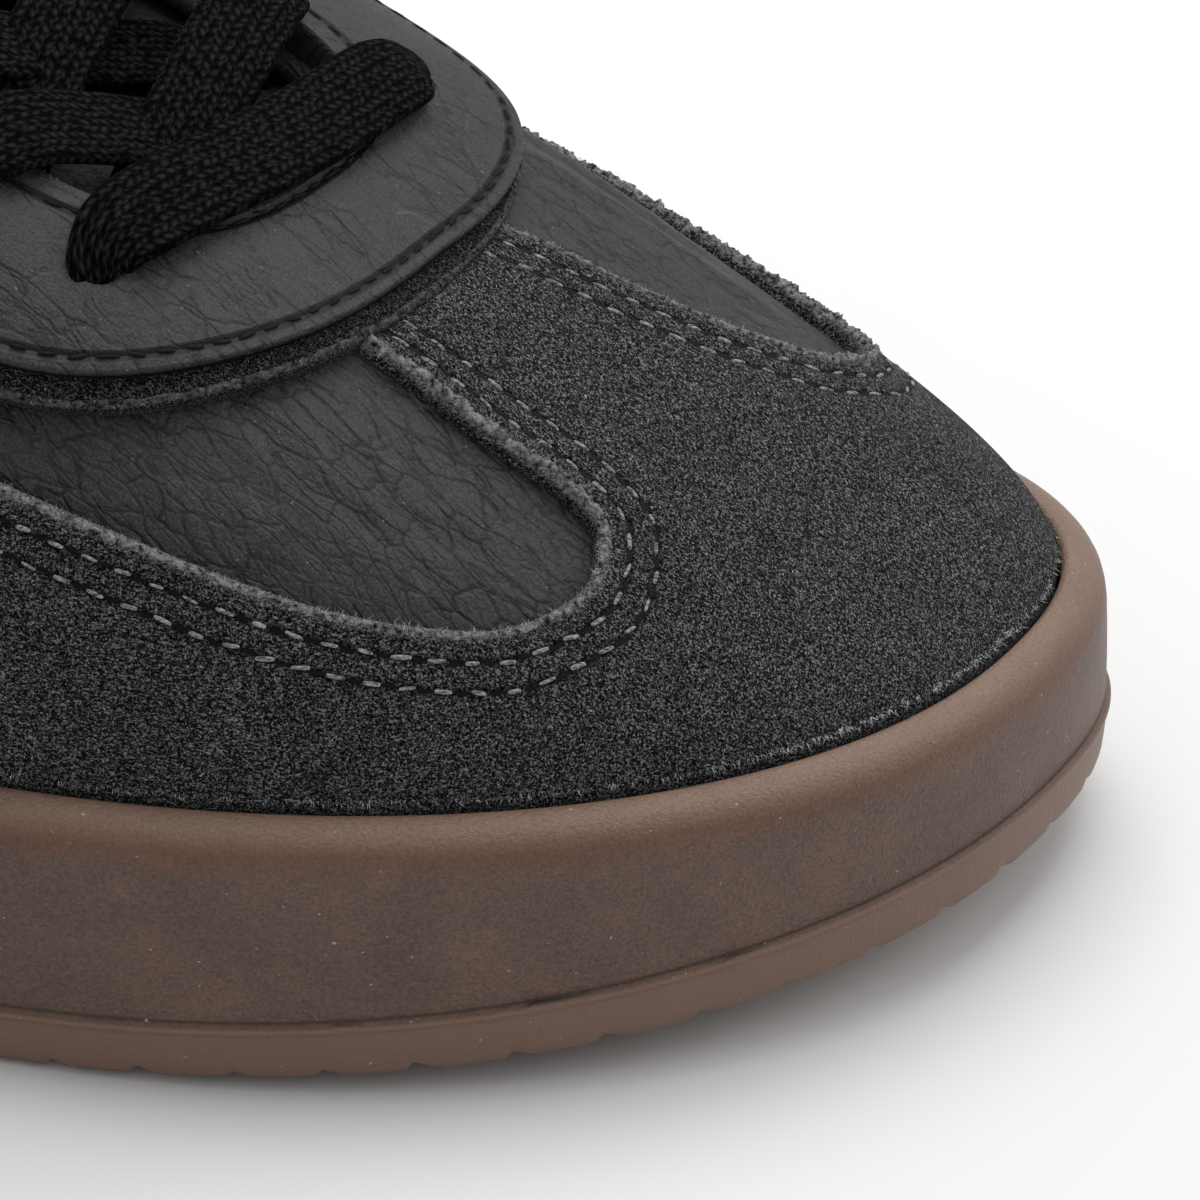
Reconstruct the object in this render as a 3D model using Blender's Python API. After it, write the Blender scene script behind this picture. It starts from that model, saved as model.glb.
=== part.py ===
# A low right-foot sneaker: gum cupsole, hollow leather upper, suede toe overlay,
# eyestay with a suede trim, tongue, flat laces and insole.
# X runs from heel to toe, +Y is the inner side of the foot and Z is up.
# Sizes are in millimetres, and solid() turns them into metres.

import bpy
import bmesh
import numpy as np

for item in list(bpy.data.objects):
    bpy.data.objects.remove(item, do_unlink=True)

MM = 0.001  # metres in a millimetre


def table(columns, rows):
    return dict(zip(columns.split(), np.array(rows, float).T))


# Driving sizes of the last: its feather line is where the upper meets the sole
BALL_X = 38.0  # widest place, ahead of the middle of the shoe
BALL_HALF = 44.8
TOE_REACH = 97.6  # ball to toe tip
TOE_SWING = 18.9  # how far the tip turns to the inner side
TOE_ROUND_X = 3.24  # higher is squarer
TOE_ROUND_Y = 2.32
HEEL_X = -100.3  # widest place of the heel
HEEL_HALF = 32.0
HEEL_REACH = 37.0
HEEL_SHIFT = 2.0  # heel's middle, to the inner side
HEEL_ROUND_X = 2.3
HEEL_ROUND_Y = 2.2
WAIST_IN = 7.0  # inner side's hollow at the arch
FEATHER_FORE = 24.4  # height of the feather line
FEATHER_HEEL = 31.0
FEATHER_RISE = table("x rise", [(-100, 1), (-60, 0.85), (-20, 0.3), (20, 0)])
Y_SHIFT = -1.3  # puts the middle of the sole's width on the X axis

# Share of a side's feather line, from the heel's back, where the heel round ends and the toe round starts
HEEL_SHARE = 0.18
TOE_SHARE = 0.61

# The crest runs down the instep to the top of the toe, and every section fans out from it
ANKLE_X = -60.0
TOE_TOP_X = 95.0
CREST = table("x z", [
    (-70, 132), (-45, 121), (-20, 109), (10, 95),
    (40, 77.0), (60, 68.2), (78, 59.3), (95, 49.7), (118, 38.5)])
CREST_LEVEL_BEHIND = -20.0  # behind here a section starts level
CREST_BLEND = 30.0

# Fullness of a section: across is its squareness at the crest, up its squareness at the sole
FULLNESS = table("share across up", [
    (0.0, 5.0, 2.5), (0.18, 5.0, 2.5), (0.35, 3.4, 2.0), (0.47, 2.6, 2.0),
    (0.61, 2.8, 2.6), (0.86, 3.3, 2.05), (1.0, 2.2, 1.65)])

# Layers, as distances out from the upper's outer face
WALL = 2.0
GAP = 0.3
OVERLAY = (0.6, 1.6)
TRIM = (0.6, 1.4)
EYESTAY = (1.8, 2.9)
TONGUE = (-5.6, -2.8)
LACE_UNDER = (3.4, 4.6)
LACE_OVER = (4.1, 5.3)
CREST_GROWTH = 1.1  # the crest slopes, so it rises a little more than a layer is thick

# Openings and edges of the upper's pieces
COLLAR = table("x z", [(-140, 97), (-125, 95), (-95, 81), (-65, 76), (-35, 85), (-10, 101)])
THROAT_LEAN = 2.1  # the throat's axis lies this far to the outer side of the middle line
THROAT_FRONT = 77.7
THROAT_BACK = -30.0
THROAT_HALF = 15.8
THROAT_ROUND = 13.0  # length of its rounded front
EYESTAY_FRONT = 89.9
EYESTAY_HALF = table("x half", [(-30, 25), (0, 26.5), (30, 29), (62, 32)])
EYESTAY_ROUND = 28.0
EYESTAY_END = -6.0
EDGE_POWER = 2.6
TRIM_SHOWS = 2.0  # suede trim past the eyestay's edge, in plan at the front
TRIM_NARROWS = (10.0, 70.0)  # and half of that behind, where the side is steep
BAR = table("share outer inner", [
    (0.78, 0.893, 0.95), (0.80, 0.888, 0.942), (0.82, 0.879, 0.931), (0.846, 0.852, 0.909),
    (0.868, 0.815, 0.872), (0.882, 0.78, 0.83), (0.89, 0.737, 0.765), (0.893, 0.70, 0.70)])
MUDGUARD = table("share height", [
    (0.41, 0.02), (0.48, 0.13), (0.56, 0.27), (0.65, 0.36), (0.72, 0.381), (0.80, 0.396),
    (0.846, 0.44), (0.868, 0.515), (0.882, 0.59), (0.893, 0.70)])
TONGUE_FRONT = 88.0
TONGUE_HALF = table("x half", [(-35, 14.5), (-32, 18), (-25, 19), (-12, 21.5), (0, 25), (50, 26), (90, 20)])
TONGUE_TOP = -35.0
TONGUE_RISE = table("x rise", [(-35, 5.0), (-28, 1.2), (-22, -0.8), (-8, -0.8), (6, 0)])  # its free end stands up

# Eyelets and laces
EYELET_PAIRS = 7
EYELET_FIRST = 76.0
EYELET_PITCH = 12.3
EYELET_SKEW = 1.4  # inner row sits further forward
EYELET_HALF = 21.8
EYELET_LEAN = 1.3
EYELET_RADIUS = 2.0
EYELET_PUNCH = 12.0  # reach of a punch each way
LACE_START = 0.8  # a crossing comes up through the throat this far towards its eyelet
LACE_WIDTH = 7.0

# Cupsole: each ring is a distance out from the visible edge of the upper, at a height between
# the sole's bottom (0) and the feather line (1), plus a height of its own
COVER = 1.6  # thickness of the overlay that the front rim stands clear of
COVER_FROM = (-45.0, -25.0)
SOLE_RINGS = table("out level lift", [
    (3.4, 0, 0), (4.2, 0, 0.8), (4.9, 0, 4.4), (5.2, 0, 5.0), (4.7, 0, 5.6), (4.5, 0.6, 0),
    (4.3, 1, -4.0), (3.7, 1, -1.5), (2.4, 1, -0.3), (1.2, 1, 0.0), (0.3, 1, -0.3), (0.3, 1, -5.0)])
WELL = 5.0  # depth of the seat inside the rim
OVERLAY_FOOT = 3.0  # how far the suede runs down behind the rim
TOE_SPRING = 6.0
SPRING_POWER = 3.2
HEEL_ROLL = 2.0
HEEL_ROLL_FROM = -100.0
ARCH_LIFT = 1.5
ARCH = (-58.0, 8.0)
LUG_PITCH = 14.4
LUG_GROOVE = 1.6
LUG_DEPTH = 1.5
LUG_INWARD = 13.0
LUG_SLANT = 0.45  # radians from square to the edge
INSOLE_THICK = 4.4
INSOLE_INSET = 2.7

# How finely the curved pieces are cut into flats
HEEL_STEPS = 6
WAIST_STEPS = 10
TOE_STEPS = 18
WALL_STEPS = 7
GUARD_CURVES = 0.8  # share from which the mudguard's edge bends round the window's tip
GUARD_STEPS = 10
GUARD_ROWS = 6
TIP_STEPS = 8
BAR_ROWS = 4
BAND_STEPS = 8
BAND_ROWS = 3
TONGUE_STEPS = 8
TONGUE_ROWS = 14
LACE_STEPS = 8
EYELET_STEPS = 6
SIDES = (-1, 1)  # outer, inner


def ease(t):
    t = np.clip(t, 0, 1)
    return t * t * (3 - 2 * t)


def along(curve, column, at):
    # Smooth curve through a table's column that never overshoots its rows
    xs = next(iter(curve.values()))
    ys = curve[column]
    step = np.diff(xs)
    rise = np.diff(ys) / step
    lean = np.concatenate([rise[:1], np.zeros(len(rise) - 1), rise[-1:]])
    for i in range(1, len(rise)):
        if rise[i - 1] * rise[i] > 0:
            lean[i] = 2 * rise[i - 1] * rise[i] / (rise[i - 1] + rise[i])
    at = np.clip(at, xs[0], xs[-1])
    i = np.clip(np.searchsorted(xs, at) - 1, 0, len(step) - 1)
    t = (at - xs[i]) / step[i]
    start = (1 + 2 * t) * (1 - t) ** 2 * ys[i] + t * (1 - t) ** 2 * step[i] * lean[i]
    return start + t * t * (3 - 2 * t) * ys[i + 1] + t * t * (t - 1) * step[i] * lean[i + 1]


def middle(x):
    # The middle line of the shoe, turning to the inner side at the toe
    forward = np.clip((x - BALL_X) / TOE_REACH, 0, 1)
    return TOE_SWING * forward ** 2 + HEEL_SHIFT * (1 - ease((x - HEEL_X) / (BALL_X - HEEL_X))) + Y_SHIFT


def feather(side, share):
    # Plan of the feather line on one side, from the heel's back (0) to the toe tip (1)
    angle = np.clip(share / HEEL_SHARE, 0, 1) * np.pi / 2
    heel_x = HEEL_X - HEEL_REACH * np.cos(angle) ** (2 / HEEL_ROUND_X)
    heel_y = HEEL_SHIFT + side * HEEL_HALF * np.sin(angle) ** (2 / HEEL_ROUND_Y)
    t = np.clip((share - HEEL_SHARE) / (TOE_SHARE - HEEL_SHARE), 0, 1)
    hollow = WAIST_IN * np.sin(np.pi * t) ** 2 if side > 0 else 0
    waist_x = HEEL_X + (BALL_X - HEEL_X) * t
    waist_y = HEEL_SHIFT * (1 - ease(t)) + side * (HEEL_HALF + (BALL_HALF - HEEL_HALF) * ease(t) - hollow)
    turn = np.clip((share - TOE_SHARE) / (1 - TOE_SHARE), 0, 1)
    angle = turn ** (TOE_ROUND_X / 2) * np.pi / 2
    forward = np.sin(angle) ** (2 / TOE_ROUND_X)
    toe_x = BALL_X + TOE_REACH * forward
    toe_y = side * BALL_HALF * np.clip(np.cos(angle), 0, 1) ** (2 / TOE_ROUND_Y) + TOE_SWING * forward ** 2
    x = np.where(share < HEEL_SHARE, heel_x, np.where(share < TOE_SHARE, waist_x, toe_x))
    y = np.where(share < HEEL_SHARE, heel_y, np.where(share < TOE_SHARE, waist_y, toe_y))
    return x, y + Y_SHIFT


def feather_height(x):
    return FEATHER_FORE + (FEATHER_HEEL - FEATHER_FORE) * along(FEATHER_RISE, "rise", x)


def crest_of(x):
    # Where along the crest the section from the feather line at x starts
    forward = np.clip((x - BALL_X) / TOE_REACH, 0, 1)
    reach = TOE_TOP_X - BALL_X
    front = BALL_X + reach * (1 - (1 - forward) ** (TOE_REACH / reach))
    back = ANKLE_X + np.clip(x - HEEL_X, 0, None) * (BALL_X - ANKLE_X) / (BALL_X - HEEL_X)
    return np.where(x > BALL_X, front, back)


def section(side, share, grow):
    # One section's start on the crest, its run out to the feather line, its two heights and its slope
    foot_x, foot_y = feather(side, share)
    top_x = crest_of(foot_x)
    top_y = middle(top_x)
    top_z = along(CREST, "z", top_x) + grow * CREST_GROWTH
    run_x = foot_x - top_x
    run_y = foot_y - top_y
    longer = 1 + grow / np.hypot(run_x, run_y)
    slope = along(CREST, "z", top_x + 0.5) - along(CREST, "z", top_x - 0.5)
    slope = slope * np.clip((top_x - CREST_LEVEL_BEHIND) / CREST_BLEND, 0, 1)
    return top_x, top_y, top_z, run_x * longer, run_y * longer, feather_height(foot_x), slope


def last_point(side, share, height, grow=0.0):
    # A point on the last: height is 0 at the feather line and 1 at the crest
    share, height = np.broadcast_arrays(np.asarray(share, float), np.asarray(height, float))
    top_x, top_y, top_z, run_x, run_y, foot_z, slope = section(side, share, grow)
    angle = height * np.pi / 2
    out = np.clip(np.cos(angle), 0, 1) ** (2 / along(FULLNESS, "across", share))
    up = np.sin(angle) ** (2 / along(FULLNESS, "up", share))
    drop = top_z + slope * run_x - foot_z
    z = top_z + slope * run_x * out - drop * (1 - up)
    return np.stack([top_x + run_x * out, top_y + run_y * out, z], -1)


def lift(x, y, grow):
    # Height of the last over a place in plan, found on the section that passes there
    side = 1 if y > middle(x) else -1
    low, high = HEEL_SHARE, 1.0
    for _ in range(40):
        share = (low + high) / 2
        top_x, top_y, top_z, run_x, run_y, foot_z, slope = section(side, share, grow)
        ahead = side * ((x - top_x) * run_y - (y - top_y) * run_x) > 0
        low, high = (share, high) if ahead else (low, share)
    out = np.hypot(x - top_x, y - top_y) / np.hypot(run_x, run_y)
    up = (1 - out ** along(FULLNESS, "across", share)) ** (1 / along(FULLNESS, "up", share))
    return top_z + slope * run_x * out - (top_z + slope * run_x - foot_z) * (1 - up)


def lifted(plan, layers):
    # Outer and inner grids over a grid of places in plan
    return [np.array([[[*p, lift(*p, grow)] for p in row] for row in plan]) for grow in reversed(layers)]


def share_at_crest(x):
    # The section that starts at x on the crest
    low, high = HEEL_SHARE, 1.0
    for _ in range(40):
        share = (low + high) / 2
        low, high = (share, high) if crest_of(feather(-1, share)[0]) < x else (low, share)
    return share


def first_height(side, share, inside):
    # Going down a section from the crest, the height where it first leaves a cut-away area
    if not inside(*last_point(side, share, 1.0)):
        return 1.0
    low, high = 0.0, 1.0
    for _ in range(30):
        height = (low + high) / 2
        low, high = (low, height) if inside(*last_point(side, share, height)) else (height, high)
    return high


def axis(x):
    return middle(x) - THROAT_LEAN


def rounded_half(x, front, half, length):
    # Half width of a strip with a rounded front end
    t = np.clip((x - front + length) / length, 0, 1)
    return half * (1 - t ** EDGE_POWER) ** (1 / EDGE_POWER)


def in_throat(x, y, z):
    half = rounded_half(x, THROAT_FRONT, THROAT_HALF, THROAT_ROUND)
    return THROAT_BACK < x < THROAT_FRONT and abs(y - axis(x)) < half


def in_opening(x, y, z):
    return in_throat(x, y, z) or z > along(COLLAR, "z", x)


def in_eyestay(margin):
    front = EYESTAY_FRONT + margin

    def inside(x, y, z):
        narrow = 0.5 + 0.5 * ease((x - TRIM_NARROWS[0]) / (TRIM_NARROWS[1] - TRIM_NARROWS[0]))
        half = along(EYESTAY_HALF, "half", x) + margin * narrow
        return x < front and abs(y - axis(x)) < rounded_half(x, front, half, EYESTAY_ROUND)

    return inside


def bar_edge(side, share):
    # Height of the suede bar's edge along a section
    return along(BAR, "outer" if side < 0 else "inner", share)


def behind_bar(x, y, z):
    return x < EYESTAY_FRONT + TRIM_SHOWS + GAP


def shares():
    heel = np.linspace(0, HEEL_SHARE, HEEL_STEPS, endpoint=False)
    waist = np.linspace(HEEL_SHARE, TOE_SHARE, WAIST_STEPS, endpoint=False)
    return np.concatenate([heel, waist, np.linspace(TOE_SHARE, 1, TOE_STEPS + 1)])


def finish(name, colour, roughness):
    look = bpy.data.materials.new(name)
    look.use_nodes = True
    shader = look.node_tree.nodes["Principled BSDF"]
    shader.inputs["Base Color"].default_value = (*colour, 1)
    shader.inputs["Roughness"].default_value = roughness
    shader.inputs["Metallic"].default_value = 0
    return look


def solid(name, points, faces, look):
    # One closed body from points that may repeat where sheets meet
    keys = {}
    index = [keys.setdefault(tuple(p), len(keys)) for p in np.round(points, 3) + 0.0]
    shape = bmesh.new()
    corners = [shape.verts.new([c * MM for c in p]) for p in keys]
    for face in faces:
        ring = list(dict.fromkeys(index[i] for i in face))
        if len(ring) > 2:
            shape.faces.new([corners[i] for i in ring])
    bmesh.ops.recalc_face_normals(shape, faces=shape.faces)
    mesh = bpy.data.meshes.new(name)
    shape.to_mesh(mesh)
    shape.free()
    mesh.materials.append(look)
    piece = bpy.data.objects.new(name, mesh)
    bpy.context.collection.objects.link(piece)
    return piece


def layer(name, sheets, look):
    # A body between two like sheets: each entry holds an outer and an inner grid of points
    points = []
    faces = []
    rims = {}
    for outer, inner in sheets:
        rows, columns = outer.shape[:2]
        base = len(points)
        points += [*outer.reshape(-1, 3), *inner.reshape(-1, 3)]
        for r in range(rows - 1):
            for c in range(columns - 1):
                a = base + r * columns + c
                quad = [a, a + 1, a + columns + 1, a + columns]
                faces += [quad, [i + rows * columns for i in reversed(quad)]]
                for i, j in zip(quad, quad[1:] + quad[:1]):
                    edge = (tuple(np.round(points[i], 3)), tuple(np.round(points[j], 3)))
                    if edge[0] != edge[1]:
                        rims.setdefault(frozenset(edge), []).append((i, j, rows * columns))
    for uses in rims.values():
        if len(uses) == 1:
            i, j, deep = uses[0]
            faces.append([j, i, i + deep, j + deep])
    return solid(name, points, faces, look)


def strip(side, columns, low, high, steps, layer_range):
    # Outer and inner grids of a strip of the last between two heights given for each column
    part = np.linspace(0, 1, steps + 1)[None, :]
    height = low[:, None] + (high - low)[:, None] * part
    column = np.asarray(columns)[:, None]
    return [last_point(side, column, height, grow) for grow in (layer_range[1], layer_range[0])]


def with_foot(grids, depth):
    # Carries a strip straight down below the feather line
    feet = []
    for grid in grids:
        foot = grid[:, :1].copy()
        foot[..., 2] -= depth
        feet.append(np.concatenate([foot, grid], 1))
    return feet


def cut(piece, cutter, operation="DIFFERENCE"):
    cutter.hide_render = True
    cutter.display_type = "WIRE"
    change = piece.modifiers.new(cutter.name, "BOOLEAN")
    change.operation = operation
    change.solver = "EXACT"
    change.object = cutter


def outline(out):
    # Plan of the shoe's edge, outer side then inner, moved out square to the feather line
    cover = lambda x: COVER * ease((x - COVER_FROM[0]) / (COVER_FROM[1] - COVER_FROM[0]))
    columns = shares()
    lateral = np.stack(feather(-1, columns), -1)
    medial = np.stack(feather(1, columns), -1)[-2:0:-1]
    line = np.concatenate([lateral, medial])
    ahead = np.roll(line, -1, 0) - np.roll(line, 1, 0)
    square = np.stack([ahead[:, 1], -ahead[:, 0]], -1)
    square /= np.linalg.norm(square, axis=1, keepdims=True)
    return line + square * (out + cover(line[:, :1]))


def bottom_height(x):
    spring = TOE_SPRING * np.clip((x - BALL_X) / (TOE_REACH + COVER), 0, None) ** SPRING_POWER
    roll = HEEL_ROLL * np.clip((HEEL_ROLL_FROM - x) / HEEL_REACH, 0, None) ** 2
    t = np.clip((x - ARCH[0]) / (ARCH[1] - ARCH[0]), 0, 1)
    return spring + roll + ARCH_LIFT * np.sin(np.pi * t) ** 2


def rungs(start, around):
    # Faces that close a ring of points across the shoe, from side to side
    half = around // 2
    opposite = [start] + [start + around - i for i in range(1, half)] + [start + half]
    return [[start + i, start + i + 1, opposite[i + 1], opposite[i]] for i in range(half)]


def ringed(name, rings, look):
    # A body of stacked rings, closed across at both ends
    around = len(rings[0])
    points = np.concatenate(rings)
    faces = rungs(0, around) + rungs((len(rings) - 1) * around, around)
    for k in range(len(rings) - 1):
        for i in range(around):
            j = (i + 1) % around
            faces.append([k * around + i, k * around + j, (k + 1) * around + j, (k + 1) * around + i])
    return solid(name, points, faces, look)


def make_cupsole(look):
    rings = []
    for out, level, rise in zip(*SOLE_RINGS.values()):
        plan = outline(out)
        low = bottom_height(plan[:, 0])
        z = low + (feather_height(plan[:, 0]) - low) * level + rise
        rings.append(np.column_stack([plan, z]))
    sole = ringed("cupsole", rings, look)
    cut(sole, make_lug_grooves(look))


def make_lug_grooves(look):
    # Short slanted grooves around the forefoot and the heel, which leave lugs along the edge
    edge = outline(SOLE_RINGS["out"][0])
    loop = np.concatenate([edge, edge[:1]])
    travel = np.concatenate([[0], np.cumsum(np.linalg.norm(np.diff(loop, axis=0), axis=1))])
    points = []
    faces = []
    for at in np.arange(LUG_PITCH / 2, travel[-1], LUG_PITCH):
        spot, ahead = (np.array([np.interp(at + d, travel, loop[:, k]) for k in (0, 1)]) for d in (0, 0.5))
        if ARCH[0] < spot[0] < ARCH[1]:
            continue
        run = (ahead - spot) / np.linalg.norm(ahead - spot)
        inward = np.array([-run[1], run[0]])
        slant = inward * np.cos(LUG_SLANT) + run * np.sin(LUG_SLANT)
        broad = np.array([-slant[1], slant[0]]) * LUG_GROOVE / 2
        floor = bottom_height(spot[0])
        base = len(points)
        for z in (floor - 2 * LUG_DEPTH, floor + LUG_DEPTH):
            for reach, way in ((-LUG_DEPTH * 2, -1), (LUG_INWARD, -1), (LUG_INWARD, 1), (-LUG_DEPTH * 2, 1)):
                points.append([*(spot + slant * reach + broad * way), z])
        sides = [[i, (i + 1) % 4, (i + 1) % 4 + 4, i + 4] for i in range(4)]
        faces += [[base + i for i in face] for face in [[3, 2, 1, 0], [4, 5, 6, 7], *sides]]
    return solid("lug_grooves", np.array(points), faces, look)


def make_insole(look):
    rings = []
    plan = outline(-INSOLE_INSET - COVER)
    for rise in (0, INSOLE_THICK):
        z = feather_height(plan[:, 0]) - WELL + GAP + rise
        rings.append(np.column_stack([plan, z]))
    ringed("insole", rings, look)


def make_upper(look):
    sheets = []
    for side in SIDES:
        columns = shares()
        top = np.array([first_height(side, s, in_opening) for s in columns])
        grids = strip(side, columns, 0 * top, top, WALL_STEPS, (-WALL, 0))
        sheets.append(with_foot(grids, WELL - GAP))
    return layer("upper", sheets, look)


def make_toe_overlay(look):
    # Mudguards below the two leather windows, the bar between them, and the toe where all three join
    back_share = MUDGUARD["share"][0]
    tip_share = MUDGUARD["share"][-1]
    toe = np.linspace(tip_share, 1, TIP_STEPS + 1)
    sheets = []
    for side in SIDES:
        behind = np.linspace(back_share, GUARD_CURVES, GUARD_STEPS, endpoint=False)
        guard = np.concatenate([behind, np.linspace(GUARD_CURVES, tip_share, TIP_STEPS, endpoint=False), toe])
        edge = along(MUDGUARD, "height", guard)
        sheets.append(with_foot(strip(side, guard, 0 * edge, edge, GUARD_ROWS, OVERLAY), OVERLAY_FOOT))
        bar = np.concatenate([np.linspace(bar_corner(side), tip_share, TIP_STEPS, endpoint=False), toe])
        high = np.array([first_height(side, s, behind_bar) for s in bar])
        low = np.minimum(bar_edge(side, bar), high)
        sheets.append(strip(side, bar, low, high, BAR_ROWS, OVERLAY))
    layer("toe_overlay", sheets, look)


def bar_corner(side):
    # The section through the corner between the bar's edge and its back end
    low, high = BAR["share"][0], BAR["share"][-1]
    for _ in range(30):
        share = (low + high) / 2
        shows = first_height(side, share, behind_bar) > bar_edge(side, share)
        low, high = (low, share) if shows else (share, high)
    return high


def make_throat_band(name, margin, layers, look):
    # A strip around the throat, from its edge out to the eyestay's edge plus a margin
    outside = in_eyestay(margin)
    back = share_at_crest(EYESTAY_END)
    front = share_at_crest(EYESTAY_FRONT + margin)
    straight = np.linspace(back, TOE_SHARE, BAND_STEPS, endpoint=False)
    columns = np.concatenate([straight, np.linspace(TOE_SHARE, front, 2 * BAND_STEPS + 1)])
    sheets = []
    for side in SIDES:
        low = np.array([first_height(side, s, outside) for s in columns])
        high = np.array([first_height(side, s, in_opening) for s in columns])
        low[-1] = high[-1]
        sheets.append(strip(side, columns, low, high, BAND_ROWS, layers))
    return layer(name, sheets, look)


def make_tongue(look):
    top = np.linspace(TONGUE_TOP, TONGUE_HALF["x"][2], TONGUE_ROWS // 3, endpoint=False)
    plan = []
    for x in [*top, *np.linspace(TONGUE_HALF["x"][2], TONGUE_FRONT, TONGUE_ROWS)]:
        half = along(TONGUE_HALF, "half", x)
        plan.append([(x, axis(x) + half * t) for t in np.linspace(-1, 1, TONGUE_STEPS + 1)])
    grids = lifted(plan, TONGUE)
    for grid in grids:
        grid[..., 2] += along(TONGUE_RISE, "rise", grid[..., 0])
    layer("tongue", [grids], look)


def eyelet(side, row):
    x = EYELET_FIRST + side * EYELET_SKEW - EYELET_PITCH * row
    return np.array([x, axis(x) - EYELET_LEAN + side * EYELET_HALF])


def lace_band(name, start, end, layers, look):
    # A flat length of lace that follows the last's curve from one place to another
    run = (end - start) / np.linalg.norm(end - start)
    across = np.array([-run[1], run[0]]) * LACE_WIDTH / 2
    middles = [start + (end - start) * t for t in np.linspace(0, 1, LACE_STEPS + 1)]
    return layer(name, [lifted([(spot - across, spot + across) for spot in middles], layers)], look)


def make_laces(look):
    # A straight bar at the first pair, then crossings that share each next pair of eyelets
    laces = lace_band("laces", eyelet(-1, 0), eyelet(1, 0), LACE_OVER, look)
    for row in range(EYELET_PAIRS - 1):
        for side, layers in zip(SIDES, (LACE_UNDER, LACE_OVER)):
            start = eyelet(-side, row) * [1, LACE_START]
            name = f"lace_{row + 2}_{'outer' if side < 0 else 'inner'}"
            length = lace_band(name, start, eyelet(side, row + 1), layers, look)
            cut(laces, length, "UNION")


def make_eyelet_pins(look):
    # Round punches through the eyestay and what lies under it
    points = []
    faces = []
    count = EYELET_STEPS
    for row in range(EYELET_PAIRS):
        for side in SIDES:
            spot = eyelet(side, row)
            z = lift(*spot, 0)
            base = len(points)
            for level in (z - EYELET_PUNCH, z + EYELET_PUNCH):
                for k in range(count):
                    turn = 2 * np.pi * k / count
                    points.append([*(spot + EYELET_RADIUS * np.array([np.cos(turn), np.sin(turn)])), level])
            faces.append([base + k for k in range(count)])
            faces.append([base + count + k for k in range(count)])
            faces += [[base + k, base + (k + 1) % count, base + count + (k + 1) % count, base + count + k]
                      for k in range(count)]
    return solid("eyelet_pins", np.array(points), faces, look)


def build():
    gum = finish("gum rubber", (0.33, 0.17, 0.095), 0.5)
    leather = finish("black leather", (0.03, 0.03, 0.032), 0.45)
    suede = finish("black suede", (0.035, 0.035, 0.038), 0.95)
    cloth = finish("black cotton", (0.02, 0.02, 0.021), 0.9)
    foam = finish("insole foam", (0.05, 0.05, 0.05), 0.9)
    make_cupsole(gum)
    make_insole(foam)
    pieces = [make_upper(leather)]
    make_toe_overlay(suede)
    pieces.append(make_throat_band("eyestay_trim", TRIM_SHOWS, TRIM, suede))
    pieces.append(make_throat_band("eyestay", 0, EYESTAY, leather))
    pins = make_eyelet_pins(leather)
    for piece in pieces:
        cut(piece, pins)
    make_tongue(leather)
    make_laces(cloth)


build()
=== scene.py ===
import math
import bpy
import bmesh
import numpy as np
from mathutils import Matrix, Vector
from mathutils import noise as lumps
from mathutils.bvhtree import BVHTree
from mathutils.kdtree import KDTree


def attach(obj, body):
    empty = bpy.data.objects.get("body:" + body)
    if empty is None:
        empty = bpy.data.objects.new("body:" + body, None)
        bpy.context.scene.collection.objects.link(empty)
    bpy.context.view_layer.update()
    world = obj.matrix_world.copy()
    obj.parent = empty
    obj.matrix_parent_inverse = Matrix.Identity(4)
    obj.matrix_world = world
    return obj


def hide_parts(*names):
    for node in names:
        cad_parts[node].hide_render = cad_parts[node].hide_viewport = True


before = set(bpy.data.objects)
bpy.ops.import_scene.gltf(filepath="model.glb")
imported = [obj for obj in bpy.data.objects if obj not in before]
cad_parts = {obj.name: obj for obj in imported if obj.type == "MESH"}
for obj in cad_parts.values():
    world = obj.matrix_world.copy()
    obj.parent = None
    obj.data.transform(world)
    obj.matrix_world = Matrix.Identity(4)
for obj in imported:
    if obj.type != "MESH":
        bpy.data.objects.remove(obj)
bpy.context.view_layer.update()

mm = 0.001  # sizes below are in millimetres
sides = (-1, 1)  # outer side of the foot, inner side
chance = np.random.default_rng(7)

# Camera at the photograph's angle, close to the toe
cameraView = {
    "aim": (108.71, -2.2, 30.0),
    "turn": 30.0,  # degrees round from the outer side towards the toe
    "rise": 29.07,
    "distance": 447.72,
    "lens": 160.98,
    "sensor": 36.0,
}


def placeCamera():
    turn, rise = (math.radians(cameraView[k]) for k in ("turn", "rise"))
    back = Vector((math.sin(turn) * math.cos(rise), -math.cos(turn) * math.cos(rise), math.sin(rise)))
    lens = bpy.data.cameras.new("photoCamera")
    lens.lens = cameraView["lens"]
    lens.sensor_width = cameraView["sensor"]
    lens.clip_start = 0.01
    holder = bpy.data.objects.new("photoCamera", lens)
    holder.location = (Vector(cameraView["aim"]) + back * cameraView["distance"]) * mm
    holder.rotation_euler = back.to_track_quat("Z", "Y").to_euler()
    bpy.context.scene.collection.objects.link(holder)
    bpy.context.scene.camera = holder


placeCamera()
print("camera placed")


def table(columns, rows):
    return dict(zip(columns.split(), np.array(rows, float).T))


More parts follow.
